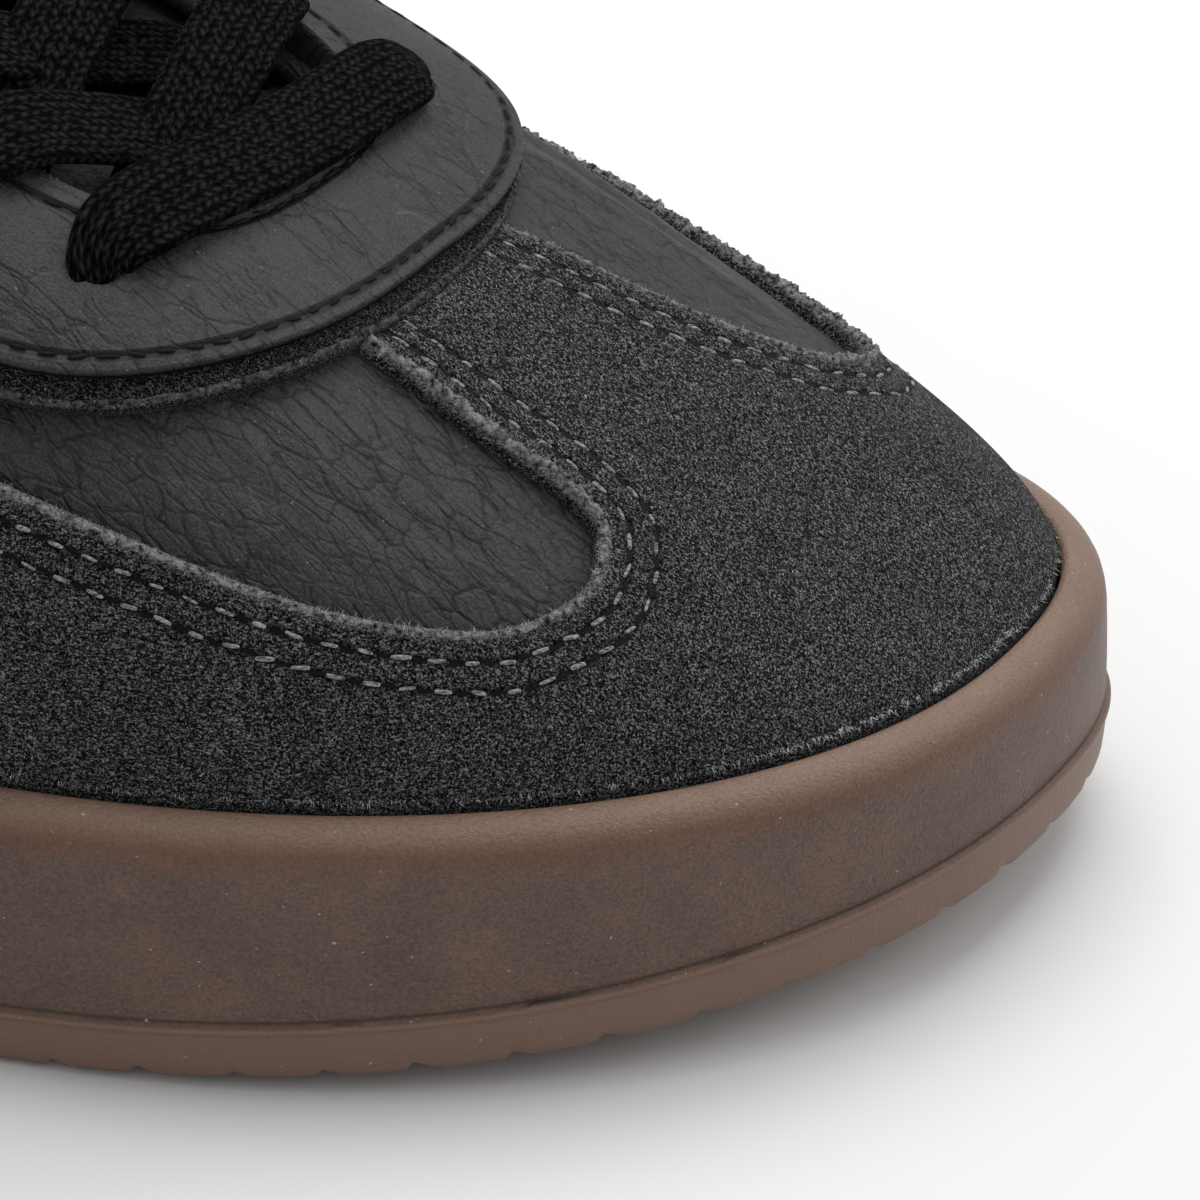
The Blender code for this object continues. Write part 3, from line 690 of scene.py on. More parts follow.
def gumLook():
    f = gumFinish
    look, tree, shader = newLook("gumRubber")
    coords = placed(tree, f["turn"], f["stretch"])
    below = measured(tree, "below")  # millimetres under the feather line
    above = measured(tree, "above")  # millimetres over the bottom edge
    peel = noise(tree, coords, f["peel"], 2.0, 0.65)
    cloud = noise(tree, coords, f["cloud"], 3.0, 0.6)
    mottle = maths(tree, "MULTIPLY", cloud, f["cloudPart"])
    mottle = maths(tree, "MULTIPLY_ADD", peel, 1 - f["cloudPart"], mottle)
    wall = blendOf(tree, rising(tree, mottle, *f["wallShown"]), f["slate"], f["wall"])
    warp = maths(tree, "MULTIPLY_ADD", cloud, f["warp"], -f["warp"] / 2)
    depth = maths(tree, "DIVIDE", maths(tree, "ADD", below, warp), 10.0)
    # Painted highlight along the top edge, then the band, then the wall further down
    upper = ramp(tree, depth, [(f["rimHighlightTo"], f["rim"]), (f["bandFrom"], f["band"])])
    upper = dimmed(tree, upper, rising(tree, peel, *f["bandShown"]))
    shade = blendOf(tree, rising(tree, depth, *f["wallFrom"]), upper, wall)
    shade = dimmed(tree, shade, rising(tree, cloud, *f["cloudShown"]))
    foot = rising(tree, maths(tree, "DIVIDE", above, 10.0), *f["footShown"])
    shade = blendOf(tree, foot, shade, f["strip"])
    # painted highlight along the ridge and painted shade in the groove over it
    for colour, place, halfWidth, strength in ridgeHighlightAndShade:
        line = ridgeAt(tree, above, place, halfWidth)
        shade = blendOf(tree, maths(tree, "MULTIPLY", line, strength), shade, colour)
    specks = noise(tree, coords, f["speck"], 0.0)
    shade = blendOf(tree, rising(tree, specks, *f["speckShown"]), shade, f["dust"])
    normal = bumpOf(tree, peel, 0.8, f["peelDepth"])
    connect(tree, shader, {"Base Color": shade, "Normal": normal, **f["surface"]})
    return look


cottonFinish = {
    # dark is painted shade between the yarns, yarn their own colour, and the last a painted highlight on
    # their crowns
    "dark": (0.0005, 0.0005, 0.0005), "yarn": (0.0042, 0.0042, 0.0043), "crownHighlight": (0.02, 0.02, 0.0205),
    "tones": (0.24, 0.46, 0.9), "yarnTones": (0.3, 0.75),
    "across": 0.86, "lengthways": 1.05, "slant": 0.5, "uneven": 0.4, "depth": 0.25,
    "drift": 420.0, "driftWide": 0.6, "plies": (5.0, 1.3), "plyPart": 0.7, "crown": -1.3,
    "surface": {"Roughness": 0.9, "Specular IOR Level": 0.03},
}


def cottonLook():
    # A flat braid: columns of short yarns that slant to and fro, each a little uneven
    f = cottonFinish
    look, tree, shader = newLook("blackCotton")
    drift = noise(tree, placed(tree), f["drift"], 2.0)
    column = maths(tree, "MULTIPLY_ADD", drift, f["driftWide"], measured(tree, "sideways"))
    column = maths(tree, "DIVIDE", column, f["across"])
    slant = maths(tree, "PINGPONG", column, 1.0)
    row = maths(tree, "MULTIPLY_ADD", slant, f["slant"], measured(tree, "lengthways"))
    row = maths(tree, "DIVIDE", row, f["lengthways"])
    row = maths(tree, "MULTIPLY_ADD", maths(tree, "MODULO", maths(tree, "FLOOR", column), 2.0), 0.5, row)
    spot = add(tree, "CombineXYZ", X=column, Y=row).outputs[0]
    yarns = add(tree, "TexVoronoi", {"voronoi_dimensions": "2D"}, Vector=spot, Scale=1.0,
                Randomness=f["uneven"])
    finer = [maths(tree, "MULTIPLY", v, scale) for v, scale in zip((column, row), f["plies"])]
    plies = noise(tree, add(tree, "CombineXYZ", X=finer[0], Y=finer[1]).outputs[0], 1.0, 2.0)
    crown = maths(tree, "MULTIPLY_ADD", yarns.outputs["Distance"], f["crown"], 1.0)
    crown = maths(tree, "SUBTRACT", crown, f["plyPart"] / 2)
    height = maths(tree, "MULTIPLY_ADD", plies, f["plyPart"], crown)
    tones = maths(tree, "MULTIPLY_ADD", yarns.outputs["Color"], *f["yarnTones"])
    # The yarn's height paints the colour: painted shade low between yarns, painted highlight on the crowns
    crownHighlight = maths(tree, "MULTIPLY", height, tones)
    shade = ramp(tree, crownHighlight, list(zip(f["tones"], (f["dark"], f["yarn"], f["crownHighlight"]))))
    normal = bumpOf(tree, height, 1.0, f["depth"])
    connect(tree, shader, {"Base Color": shade, "Normal": normal, **f["surface"]})
    return look


def plainCloth(name, dark, pale, scale):
    look, tree, shader = newLook(name)
    coords = placed(tree)
    waves = [add(tree, "TexWave", {"bands_direction": way}, Vector=coords, Scale=scale, Distortion=1.2)
             for way in "XY"]
    height = maths(tree, "MULTIPLY", *(wave.outputs[1] for wave in waves))
    fleck = noise(tree, coords, scale * 3, 3.0)
    shade = blendOf(tree, maths(tree, "MULTIPLY", height, fleck), dark, pale)
    normal = bumpOf(tree, height, 0.6, 0.15)
    connect(tree, shader, {"Base Color": shade, "Normal": normal, "Roughness": 0.9})
    return look


# Threads and fibres: scale, turn and stretch of their grain, where it shows, its bump, and their surface
threadFinish = {
    "scale": (3800.0, 2.0), "lay": ((0, 0, 35), (0.5, 1.6, 1.0)), "shown": (0.35, 0.65), "bump": (0.8, 0.08),
    "surface": {"Roughness": 0.6, "Specular IOR Level": 0.12},
}
fuzzFinish = {
    "scale": (1700.0, 3.0, 0.65), "lay": (), "shown": (0.36, 0.66), "bump": (1.0, 0.2),
    "surface": {"Roughness": 0.85, "Specular IOR Level": 0.1},
}


def fibreLook(name, f, dark, pale):
    look, tree, shader = newLook(name)
    grain = noise(tree, placed(tree, *f["lay"]), *f["scale"])
    shade = rising(tree, grain, *f["shown"], dark, pale)
    connect(tree, shader, {"Base Color": shade, "Normal": bumpOf(tree, grain, *f["bump"]), **f["surface"]})
    return look


looks = {
    "upper": leatherLook("blackLeather", [("collar", 3.0, 0.6, 0.3), ("heelSeam", 0.0, 0.5, 0.3)]),
    "eyestay": leatherLook(
        "eyestayLeather", [("edge", 1.15, 0.6, 0.4), ("throat", 2.45, 0.6, 0.4)], smoother=0.09),
    "suede": suedeLook("blackSuede", [(2.4, 0.5, 0.35), (4.8, 0.5, 0.35)]),
    # the trim's low tone is painted shadow from the eyestay over it
    "trim": suedeLook("shadowedTrimSuede", edgeWidth=0.4, fray=0.5, tone=0.45),
    "gum": gumLook(),
    "cotton": cottonLook(),
    "lining": plainCloth("liningCloth", (0.004, 0.004, 0.004), (0.03, 0.03, 0.031), 900.0),
    "sock": plainCloth("sockCloth", (0.006, 0.006, 0.006), (0.05, 0.05, 0.05), 600.0),
    "rawEdge": plainCloth("rawEdge", (0.006, 0.006, 0.006), (0.10, 0.10, 0.098), 1500.0),
    "paleThread": fibreLook("greyThread", threadFinish, 0.04, 0.32),
    "blackThread": fibreLook("blackThread", threadFinish, 0.001, 0.008),
    # painted shadow for the needle holes
    "holeShadow": fibreLook("holeShadow", threadFinish, 0.0005, 0.002),
    "fuzz": fibreLook("suedeFuzz", fuzzFinish, 0.10, 0.62),
    "trimEdge": fibreLook("trimEdge", fuzzFinish, 0.002, 0.09),
    "cutEdge": fibreLook("cutEdge", fuzzFinish, 0.005, 0.24),
    "darkFuzz": fibreLook("darkFuzz", fuzzFinish, 0.006, 0.12),
    "cottonFuzz": fibreLook("cottonFuzz", fuzzFinish, 0.004, 0.09),
}
print("materials made")

# Laces: a bar across the first pair of eyelets, then crossings up to the top pair
laceRun = {
    "pairs": 7, "first": 76.0, "pitch": 12.3, "skew": 1.4, "half": 21.8, "lean": 1.3, "holeRadius": 2.0,
    "width": 8.3, "thick": 1.45, "step": 0.5, "around": 28, "over": 0.95, "bow": 1.5, "hang": 0.8,
    "square": 0.6, "edgeRoll": 0.12, "mostFold": 1.7,
}
barRise = table("t rise wide", [
    (0, -1.8, 0.6), (0.012, 1.4, 0.64), (0.03, 3.3, 0.72), (0.07, 4.3, 0.88), (0.13, 4.5, 0.98),
    (0.2, 4.5, 1), (0.5, 4.4, 1), (0.8, 4.5, 1), (0.87, 4.5, 0.99), (0.93, 4.3, 0.92),
    (0.97, 3.3, 0.74), (0.988, 1.4, 0.64), (1, -1.8, 0.6)])
crossRise = table("t rise wide", [
    (0, -3.6, 0.8), (0.1, -3.2, 0.95), (0.25, -1.4, 1), (0.5, 1.0, 1), (0.75, 3.5, 1),
    (0.86, 4.3, 0.98), (0.93, 4.2, 0.9), (0.97, 3.3, 0.74), (0.988, 1.4, 0.64), (1, -1.8, 0.6)])


def eyelet(side, row):
    x = laceRun["first"] + side * laceRun["skew"] - laceRun["pitch"] * row
    return np.array([x, axis(x) - laceRun["lean"] + side * laceRun["half"]])


def laceBand(shape, start, end, rises, shift, bow=0.0):
    t = np.linspace(0, 1, 400)
    outward = unit(end - start) * laceRun["hang"]
    start, end = start - outward, end + outward
    plan = start + (end - start) * t[:, None]
    plan[:, 0] += bow * np.sin(np.pi * t)
    bulge = np.sin(np.pi * t) ** 2 * shift
    path = liftedPoint(plan, along(rises, "rise", t) + bulge)
    wide = along(rises, "wide", t)[:, None] * laceRun["width"]
    path, wide, ups = spaced(path, laceRun["step"], [wide, liftedNormal(plan)])
    run = unit(np.gradient(path, axis=0))
    across = unit(np.cross(np.broadcast_to(np.mean(ups, 0), run.shape), run))
    normal = unit(np.cross(run, across))
    turn = np.linspace(0, 2 * np.pi, laceRun["around"] + 1)
    flat = squarish(np.cos(turn), laceRun["square"])
    rolled = 1 + laceRun["edgeRoll"] * np.exp(-((abs(flat) - 0.85) / 0.1) ** 2)
    thick = squarish(np.sin(turn), laceRun["square"]) * rolled * laceRun["thick"] / 2
    fold = laceRun["width"] / wide
    grid = path[:, None] + across[:, None] * (flat[None, :, None] * wide[:, None] / 2)
    grid = grid + normal[:, None] * (thick[None, :, None] * np.minimum(fold, laceRun["mostFold"])[:, None])
    lengthways = np.broadcast_to(travel(path)[:, None], grid.shape[:2])
    sideways = np.broadcast_to(flat * laceRun["width"] / 2, grid.shape[:2])
    sheetOf(shape, grid, flip=True, marks={"sideways": sideways, "lengthways": lengthways})
    return path, normal, across * wide / 2


def makeLaces():
    shape = bmesh.new()
    lines = [laceBand(shape, eyelet(-1, 0), eyelet(1, 0), barRise, 0, laceRun["bow"])]
    for row in range(laceRun["pairs"] - 1):
        for side in sides:
            start, end = eyelet(-side, row), eyelet(side, row + 1)
            lines.append(laceBand(shape, start, end, crossRise, side * laceRun["over"]))
    bmesh.ops.remove_doubles(shape, verts=shape.verts, dist=0.001 * mm)
    bmesh.ops.holes_fill(shape, edges=[e for e in shape.edges if e.is_boundary], sides=0)
    newPiece("laceRun", shape, [looks["cotton"]], "laces", merge=0)
    return lines


laceLines = makeLaces()

# Sole: wall rings with the parting ridge, the bottom with its edge grooves
soleForm = {
    "cover": 1.6, "coverFrom": (-45.0, -25.0),
    "toeSpring": 6.0, "springPower": 3.2, "heelRoll": 2.0, "rollFrom": -100.0,
    "archLift": 1.5, "arch": (-58.0, 8.0), "columns": 470,
    "groovePitch": 7.2, "grooveDepth": 0.8, "grooveTaper": 2.0, "grooveInward": 13.0, "grooveSlant": 0.48,
    "grooveFade": 2.2, "grooveBlend": 6.0, "bottomRows": 40, "burrAt": 5.1, "burrRun": 0.5,
}
soleRings = table("out level lift", [
    (3.7, 0, 0), (4.2, 0, 0.12), (4.52, 0, 0.45), (4.68, 0, 1.0), (4.78, 0, 2.0), (4.86, 0, 3.2),
    (4.9, 0, 4.2), (4.94, 0, 4.5), (5.1, 0, 4.66), (5.2, 0, 4.86), (5.2, 0, 5.1), (5.06, 0, 5.26),
    (4.72, 0, 5.34), (4.64, 0, 5.5), (4.7, 0, 5.9), (4.72, 0, 6.6),
    (4.7, 0.42, 0), (4.66, 0.52, 0), (4.6, 0.6, 0), (4.54, 0.68, 0),
    (4.48, 1, -4.9), (4.42, 1, -3.8), (4.28, 1, -2.85), (4.05, 1, -2.05), (3.7, 1, -1.4), (3.25, 1, -0.86),
    (2.7, 1, -0.46), (2.1, 1, -0.18), (1.5, 1, -0.02), (1.0, 1, 0.02), (0.62, 1, -0.1), (0.4, 1, -0.36),
    (0.3, 1, -0.9), (0.3, 1, -2.2), (0.3, 1, -5.0)])
# Moulding flash on the outer side
burrs = table("x length tall", [(101.9, 1.6, 0.3), (114.1, 3.2, 0.5), (124.6, 1.8, 0.4)])


def burrLift(line):
    lifted = np.zeros(len(line))
    for x, length, tall in zip(*burrs.values()):
        t = (line[:, 0] - x) / length
        lifted += np.where((t > 0) & (t < 1) & (line[:, 1] < middle(line[:, 0])), tall * (1 - 0.6 * t), 0)
    return lifted


def evenShares(side, count):
    shares = np.linspace(0, 1, 6000)
    run = travel(np.stack(feather(side, shares), -1))
    return np.interp(np.linspace(0, run[-1], count + 1), run, shares)


def bottomHeight(x):
    f = soleForm
    spring = np.clip((x - last["ballX"]) / (last["toeReach"] + f["cover"]), 0, None) ** f["springPower"]
    roll = np.clip((f["rollFrom"] - x) / last["heelReach"], 0, None) ** 2
    t = np.clip((x - f["arch"][0]) / (f["arch"][1] - f["arch"][0]), 0, 1)
    return f["toeSpring"] * spring + f["heelRoll"] * roll + f["archLift"] * np.sin(np.pi * t) ** 2


def edgeLine():
    lateral = np.stack(feather(-1, evenShares(-1, soleForm["columns"])), -1)
    medial = np.stack(feather(1, evenShares(1, soleForm["columns"])), -1)[-2:0:-1]
    line = np.concatenate([lateral, medial])
    ahead = np.roll(line, -1, 0) - np.roll(line, 1, 0)
    square = unit(np.stack([ahead[:, 1], -ahead[:, 0]], -1))
    start, end = soleForm["coverFrom"]
    cover = soleForm["cover"] * ease((line[:, :1] - start) / (end - start))
    return line, square, cover


def grooveLift(run, x, inward):
    f = soleForm
    phase = np.mod(run + inward * f["grooveSlant"], f["groovePitch"])
    wedge = np.clip(1 - phase / f["grooveTaper"], 0, 1)
    start, end = f["arch"]
    fore = ease((x - end) / f["grooveBlend"]) + ease((start - x) / f["grooveBlend"])
    return f["grooveDepth"] * wedge * np.clip((f["grooveInward"] - inward) / 2, 0, 1) * fore


def closedWall(rings):
    wall = np.stack(rings, 1)
    return np.concatenate([wall, wall[:1]])


def halvesOf(ring):
    # Outer and inner half of a closed ring, each from heel to toe
    half = soleForm["columns"]
    return ring[:half + 1], np.concatenate([ring[:1], ring[:half - 1:-1]])


def makeSole():
    f = soleForm
    line, square, cover = edgeLine()
    run = travel(np.concatenate([line, line[:1]]))[:-1]
    rings = []
    for out, level, rise in zip(*soleRings.values()):
        plan = line + square * (out + cover)
        low = bottomHeight(plan[:, 0])
        z = low + (featherHeight(plan[:, 0]) - low) * level + rise
        if level == 0:
            z = z + grooveLift(run, plan[:, 0], 0) * np.clip(1 - rise / f["grooveFade"], 0, 1)
            z = z + burrLift(line) * np.clip(1 - abs(rise - f["burrAt"]) / f["burrRun"], 0, 1)
        rings.append(np.column_stack([plan, z]))
    wall = closedWall(rings)
    shape = bmesh.new()
    sheetOf(shape, wall)
    outer, inner = halvesOf(wall[:-1, 0])
    part = 0.5 - 0.5 * np.cos(np.linspace(0, np.pi, f["bottomRows"] + 1))
    across = outer[:, None] + (inner - outer)[:, None] * part[None, :, None]
    span = np.linalg.norm(inner - outer, axis=1)[:, None]
    inward = np.minimum(part, 1 - part)[None, :] * span
    outerRun, innerRun = (v[:, None] for v in halvesOf(run))
    runs = np.where(part[None, :] < 0.5, outerRun, innerRun)
    across[:, 1:-1, 2] = (bottomHeight(across[..., 0]) + grooveLift(runs, across[..., 0], inward))[:, 1:-1]
    sheetOf(shape, across, flip=True)
    piece = newPiece("gumCupsole", shape, [looks["gum"]], "cupsole")
    points = cornersOf(piece)
    keep(piece, "below", featherHeight(points[:, 0]) - points[:, 2])
    keep(piece, "above", points[:, 2] - bottomHeight(points[:, 0]))


makeSole()

# Sock on the sole's seat, from rings of inset and rise
insoleForm = {
    "well": 5.0, "gap": 0.3, "inset": 2.7, "rows": 30,
    "rings": ((0.6, 0), (0.1, 0.4), (0, 2.0), (0.1, 3.6), (0.5, 4.15), (1.2, 4.4)),
}


def makeInsole():
    f = insoleForm
    line, square, cover = edgeLine()
    plan = line - square * (f["inset"] + soleForm["cover"] - cover)
    base = featherHeight(plan[:, 0]) - f["well"] + f["gap"]
    rings = []
    for inset, rise in f["rings"]:
        rings.append(np.column_stack([plan - square * inset, base + rise]))
    wall = closedWall(rings)
    shape = bmesh.new()
    sheetOf(shape, wall)
    part = np.linspace(0, 1, f["rows"] + 1)
    for row, flip in ((0, True), (-1, False)):
        outer, inner = halvesOf(wall[:-1, row])
        sheetOf(shape, outer[:, None] + (inner - outer)[:, None] * part[None, :, None], flip=flip)
    newPiece("sockInsole", shape, [looks["sock"]], "insole")


makeInsole()

# Upper: leather outside, cloth inside, a rolled edge round the collar and throat
upperForm = {
    "wall": 2.0, "foot": 4.7, "rows": 90, "innerRows": 16, "collarRow": 3.0, "heelRow": 0.0054,
    "padding": 2.4, "padDown": 0.16, "padFrom": -12.0, "padRun": 25.0, "rollOut": 0.35,
    "ripple": 0.012, "creaseEnds": 5.0, "ridge": 0.4, "ridgeAt": 1.9,
}
# Soft creases from one place on the last to another, with their depth and half width
creaseLines = table("side share height toShare toHeight depth wide", [
    (-1, 0.70, 0.76, 0.78, 0.50, 0.30, 1.5), (-1, 0.73, 0.74, 0.81, 0.50, 0.25, 1.3),
    (-1, 0.67, 0.70, 0.73, 0.46, 0.35, 1.7), (-1, 0.76, 0.72, 0.83, 0.55, 0.22, 1.2),
    (-1, 0.63, 0.72, 0.69, 0.44, 0.40, 2.0), (-1, 0.58, 0.72, 0.64, 0.42, 0.40, 2.2),
    (-1, 0.80, 0.70, 0.86, 0.58, 0.20, 1.1),
    (1, 0.69, 0.78, 0.82, 0.55, 0.30, 1.5), (1, 0.66, 0.72, 0.77, 0.48, 0.35, 1.7),
    (1, 0.73, 0.82, 0.86, 0.62, 0.25, 1.2), (1, 0.62, 0.70, 0.70, 0.46, 0.40, 2.0)])


def creased(side, columns, height, points):
    # Points of the leather drawn in along its soft creases, with a low ridge beside each
    f = upperForm
    normal = lastNormal(side, columns[:, None], height)
    flat = points.reshape(-1, 3)
    sunk = np.zeros(len(flat))
    for way, share, low, toShare, toHeight, depth, wide in zip(*creaseLines.values()):
        if way != side:
            continue
        t = np.linspace(0, 1, 160)
        climb = low + (toHeight - low) * t + f["ripple"] * np.sin(t * 9)
        line = lastPoint(side, share + (toShare - share) * t, climb)
        gone = distanceTo(flat, line) / wide
        ends = np.linalg.norm(flat[:, None] - line[[0, -1]], axis=2).min(1)
        trough = np.exp(-gone ** 2) - f["ridge"] * np.exp(-(gone - f["ridgeAt"]) ** 2)
        sunk += depth * ease(ends / f["creaseEnds"]) * trough
    return points - normal * sunk.reshape(points.shape[:2])[..., None]


def punch(shape, grow, depth, radius):
    # Round eyelet holes: faces inside a hole go, and its rim is drawn to a circle and turned down
    faces = list(shape.faces)
    middles = np.array([face.calc_center_median() for face in faces]) / mm
    for row in range(laceRun["pairs"]):
        for side in sides:
            spot = eyelet(side, row)
            centre = liftedPoint(spot[None], grow)[0]
            normal = liftedNormal(spot[None])[0]
            off = middles - centre
            deep = off @ normal
            wide = np.linalg.norm(off - deep[:, None] * normal, axis=1)
            within = [faces[i] for i in np.flatnonzero((abs(deep) < 1.0) & (wide < radius))]
            if not within:
                continue
            rim = {e for f in within for e in f.edges if sum(g in within for g in e.link_faces) == 1}
            bmesh.ops.delete(shape, geom=within, context="FACES")
            rim = [e for e in rim if e.is_valid]
            for corner in {v for e in rim for v in e.verts}:
                off = np.array(corner.co) / mm - centre
                deep = off @ normal
                flat = unit((off - normal * deep)[None])[0]
                corner.co = (centre + flat * radius + normal * deep) * mm
            made = bmesh.ops.extrude_edge_only(shape, edges=rim)["geom"]
            for corner in (g for g in made if isinstance(g, bmesh.types.BMVert)):
                corner.co -= Vector(normal * depth * mm)


def upperColumns():
    f = last
    return np.concatenate([
        [0, 0.0004, 0.0008, 0.0014, 0.0022, 0.0034],  # close together at the heel's seam
        np.linspace(0, f["heelShare"], 36, endpoint=False)[1:],
        np.linspace(f["heelShare"], f["toeShare"], 90, endpoint=False),
        np.linspace(f["toeShare"], 0.9, 170, endpoint=False),
        np.linspace(0.9, 1, 21)])


def makeUpper():
    f = upperForm
    shape = bmesh.new()
    collarLine = []
    rows = {}
    columns = upperColumns()
    for side in sides:
        top = firstHeight(side, columns, inOpening)
        outer = stripOn(side, columns, 0 * top, top, rowsTo(f["rows"]), 0)
        outer = creased(side, columns, top[:, None] * rowsTo(f["rows"]), outer)
        sheetOf(shape, withFoot(outer, f["foot"]), flip=side > 0)
        part = np.linspace(0, 1, f["innerRows"] + 1)[None, :]
        height = top[:, None] * part
        behind = ease((f["padFrom"] - outer[:, -1, 0]) / f["padRun"])[:, None]
        padded = np.exp(-((1 - part) / f["padDown"]) ** 2) * behind
        inner = lastPoint(side, columns[:, None], height, -f["wall"] - f["padding"] * padded)
        sheetOf(shape, withFoot(inner, f["foot"]), flip=side < 0, finish=1)
        cutAway = np.flatnonzero(top < 1)
        rim = np.arange(cutAway[0], min(cutAway[-1] + 2, len(columns)))
        first, second = outer[rim, -1], inner[rim, -1]
        away = unit(outer[rim, -1] - outer[rim, -2])
        turn = np.linspace(0, np.pi, 7)[None, :, None]
        share = 0.5 - 0.5 * np.cos(turn)
        thick = np.linalg.norm(second - first, axis=1)[:, None, None]
        bulge = away[:, None] * np.sin(turn) * thick * f["rollOut"]
        sheetOf(shape, first[:, None] + (second - first)[:, None] * share + bulge, flip=side > 0)
        collarLine.append(first)
        behind = first[:, 0] < edges["eyestayEnd"] - 2
        rows["collar", side] = (first - away * f["collarRow"])[behind]
        height = np.linspace(0.05, np.interp(f["heelRow"], columns, top) - 0.06, 60)
        rows["heel", side] = lastPoint(side, f["heelRow"], height)
    punch(shape, 0, f["wall"] * 0.6, laceRun["holeRadius"])
    piece = newPiece("leatherUpper", shape, [looks["upper"], looks["lining"]], "upper")
    keepGap(piece, "collar", [np.concatenate([collarLine[0][::-1], collarLine[1]])], 0.5)
    corners = cornersOf(piece)
    atHeel = corners[:, 0] < last["heelX"]
    keep(piece, "heelSeam", np.where(atHeel, abs(corners[:, 1] - last["heelShift"] - last["yShift"]), 9.0))
    return piece, rows


leatherUpper, upperRows = makeUpper()

# Suede overlay: mudguards under the two leather windows, the bar between them, and the toe
suedeForm = {
    "grow": 1.6, "foot": 3.0, "guardRows": 56, "barRows": 34, "crowd": 1.5, "toeColumns": 90,
    "skived": 0.55, "skiveFrom": 93.5, "skiveRun": 3.5,
    "rows": (2.4, 4.8),  # stitch rows, from the window's edge
}
suedeSkirt = [(0, 0), (0.16, -0.1), (0.3, -0.36), (0.34, -0.85), (0.26, -1.7)]
tipShare = guardEdge["share"][-1]


def guardColumns():
    back = guardEdge["share"][0]
    t = np.linspace(0, 1, 150)[1:]
    return np.concatenate([np.linspace(back, 0.69, 56), tipShare - (tipShare - 0.69) * (1 - t) ** 1.7])


def barColumns(side):
    shares = np.linspace(barEdge["share"][0], tipShare, 3000)
    shows = firstHeight(side, shares, behindBar) > barHeight(side, shares)
    corner = shares[np.argmax(shows)]
    t = np.linspace(0, 1, 70)
    return corner + (tipShare - corner) * (1 - (1 - t) ** 1.8)


def windowEdge(side):
    # Shares and heights along the mudguard's edge to the window's tip, then back along the bar's
    guard = guardColumns()
    bar = barColumns(side)[::-1]
    share = np.concatenate([guard, bar[1:]])
    height = np.concatenate([along(guardEdge, "height", guard), barHeight(side, bar[1:])])
    return share, height


def skiveOf(x):
    # How much thinner the suede is where it runs under the trim
    return suedeForm["skived"] * ease((suedeForm["skiveFrom"] - x) / suedeForm["skiveRun"])


def makeSuede():
    f = suedeForm
    shape = bmesh.new()
    lines = {}
    toe = np.linspace(tipShare, 1, f["toeColumns"])
    guardPart = rowsTo(f["guardRows"], high=f["crowd"])
    barPart = rowsTo(f["barRows"], low=f["crowd"])
    for side in sides:
        guard = guardColumns()
        edge = along(guardEdge, "height", guard)
        grid = stripOn(side, guard, 0 * edge, edge, guardPart, f["grow"])
        sheetOf(shape, withFoot(grid, f["foot"]), flip=side > 0)
        split = np.full(len(toe), guardEdge["height"][-1])
        low = stripOn(side, toe, 0 * split, split, guardPart, f["grow"])
        sheetOf(shape, withFoot(low, f["foot"]), flip=side > 0)
        bar = barColumns(side)
        for columns, bottom in ((bar, barHeight(side, bar)), (toe, split)):
            top = np.maximum(firstHeight(side, columns, behindBar), bottom)
            x = stripOn(side, columns, bottom, top, barPart, 0)[..., 0]
            grid = stripOn(side, columns, bottom, top, barPart, f["grow"] - skiveOf(x))
            sheetOf(shape, grid, flip=side > 0)
        share, height = windowEdge(side)
        x = lastPoint(side, share, height)[:, 0]
        bars = np.arange(len(share)) >= len(guard)
        points, normal, inward = edgeFrame(side, share, height, f["grow"] - skiveOf(x) * bars)
        sheetOf(shape, skirt(points, normal, inward, suedeSkirt), flip=side > 0)
        lines[side] = (points, normal, inward)
    piece = newPiece("suedeToe", shape, [looks["suede"]], "toe_overlay")
    keepGap(piece, "edge", [lines[side][0] for side in sides])
    return piece, lines


suedeToe, windowLines = makeSuede()

# Eyestay of leather round the throat, over a narrow suede trim
eyestayForm = {
    "grow": 2.9, "rows": 50, "crowd": 1.5, "edgeRow": 1.15, "throatRow": 2.45, "holeDepth": 1.4,
}
trimForm = {"grow": 1.75, "tuck": 2.5, "rows": 14, "crowd": 1.0}
eyestaySkirt = [(0, 0), (0.12, -0.06), (0.22, -0.22), (0.26, -0.55), (0.22, -1.6)]
throatSkirt = eyestaySkirt + [(0.1, -2.85)]  # down to the upper, over the hidden suede
trimSkirt = [(0, 0), (0.15, -0.12), (0.26, -0.4), (0.3, -0.9), (0.22, -1.8)]


def bandColumns(front):
    back = shareAtCrest(edges["eyestayEnd"])
    bend = shareAtCrest(66.0)
    end = shareAtCrest(front)
    t = np.linspace(0, 1, 90)
    ahead = bend + (end - bend) * (1 - (1 - t) ** 1.35)
    return np.concatenate([np.linspace(back, bend, 110, endpoint=False), ahead])


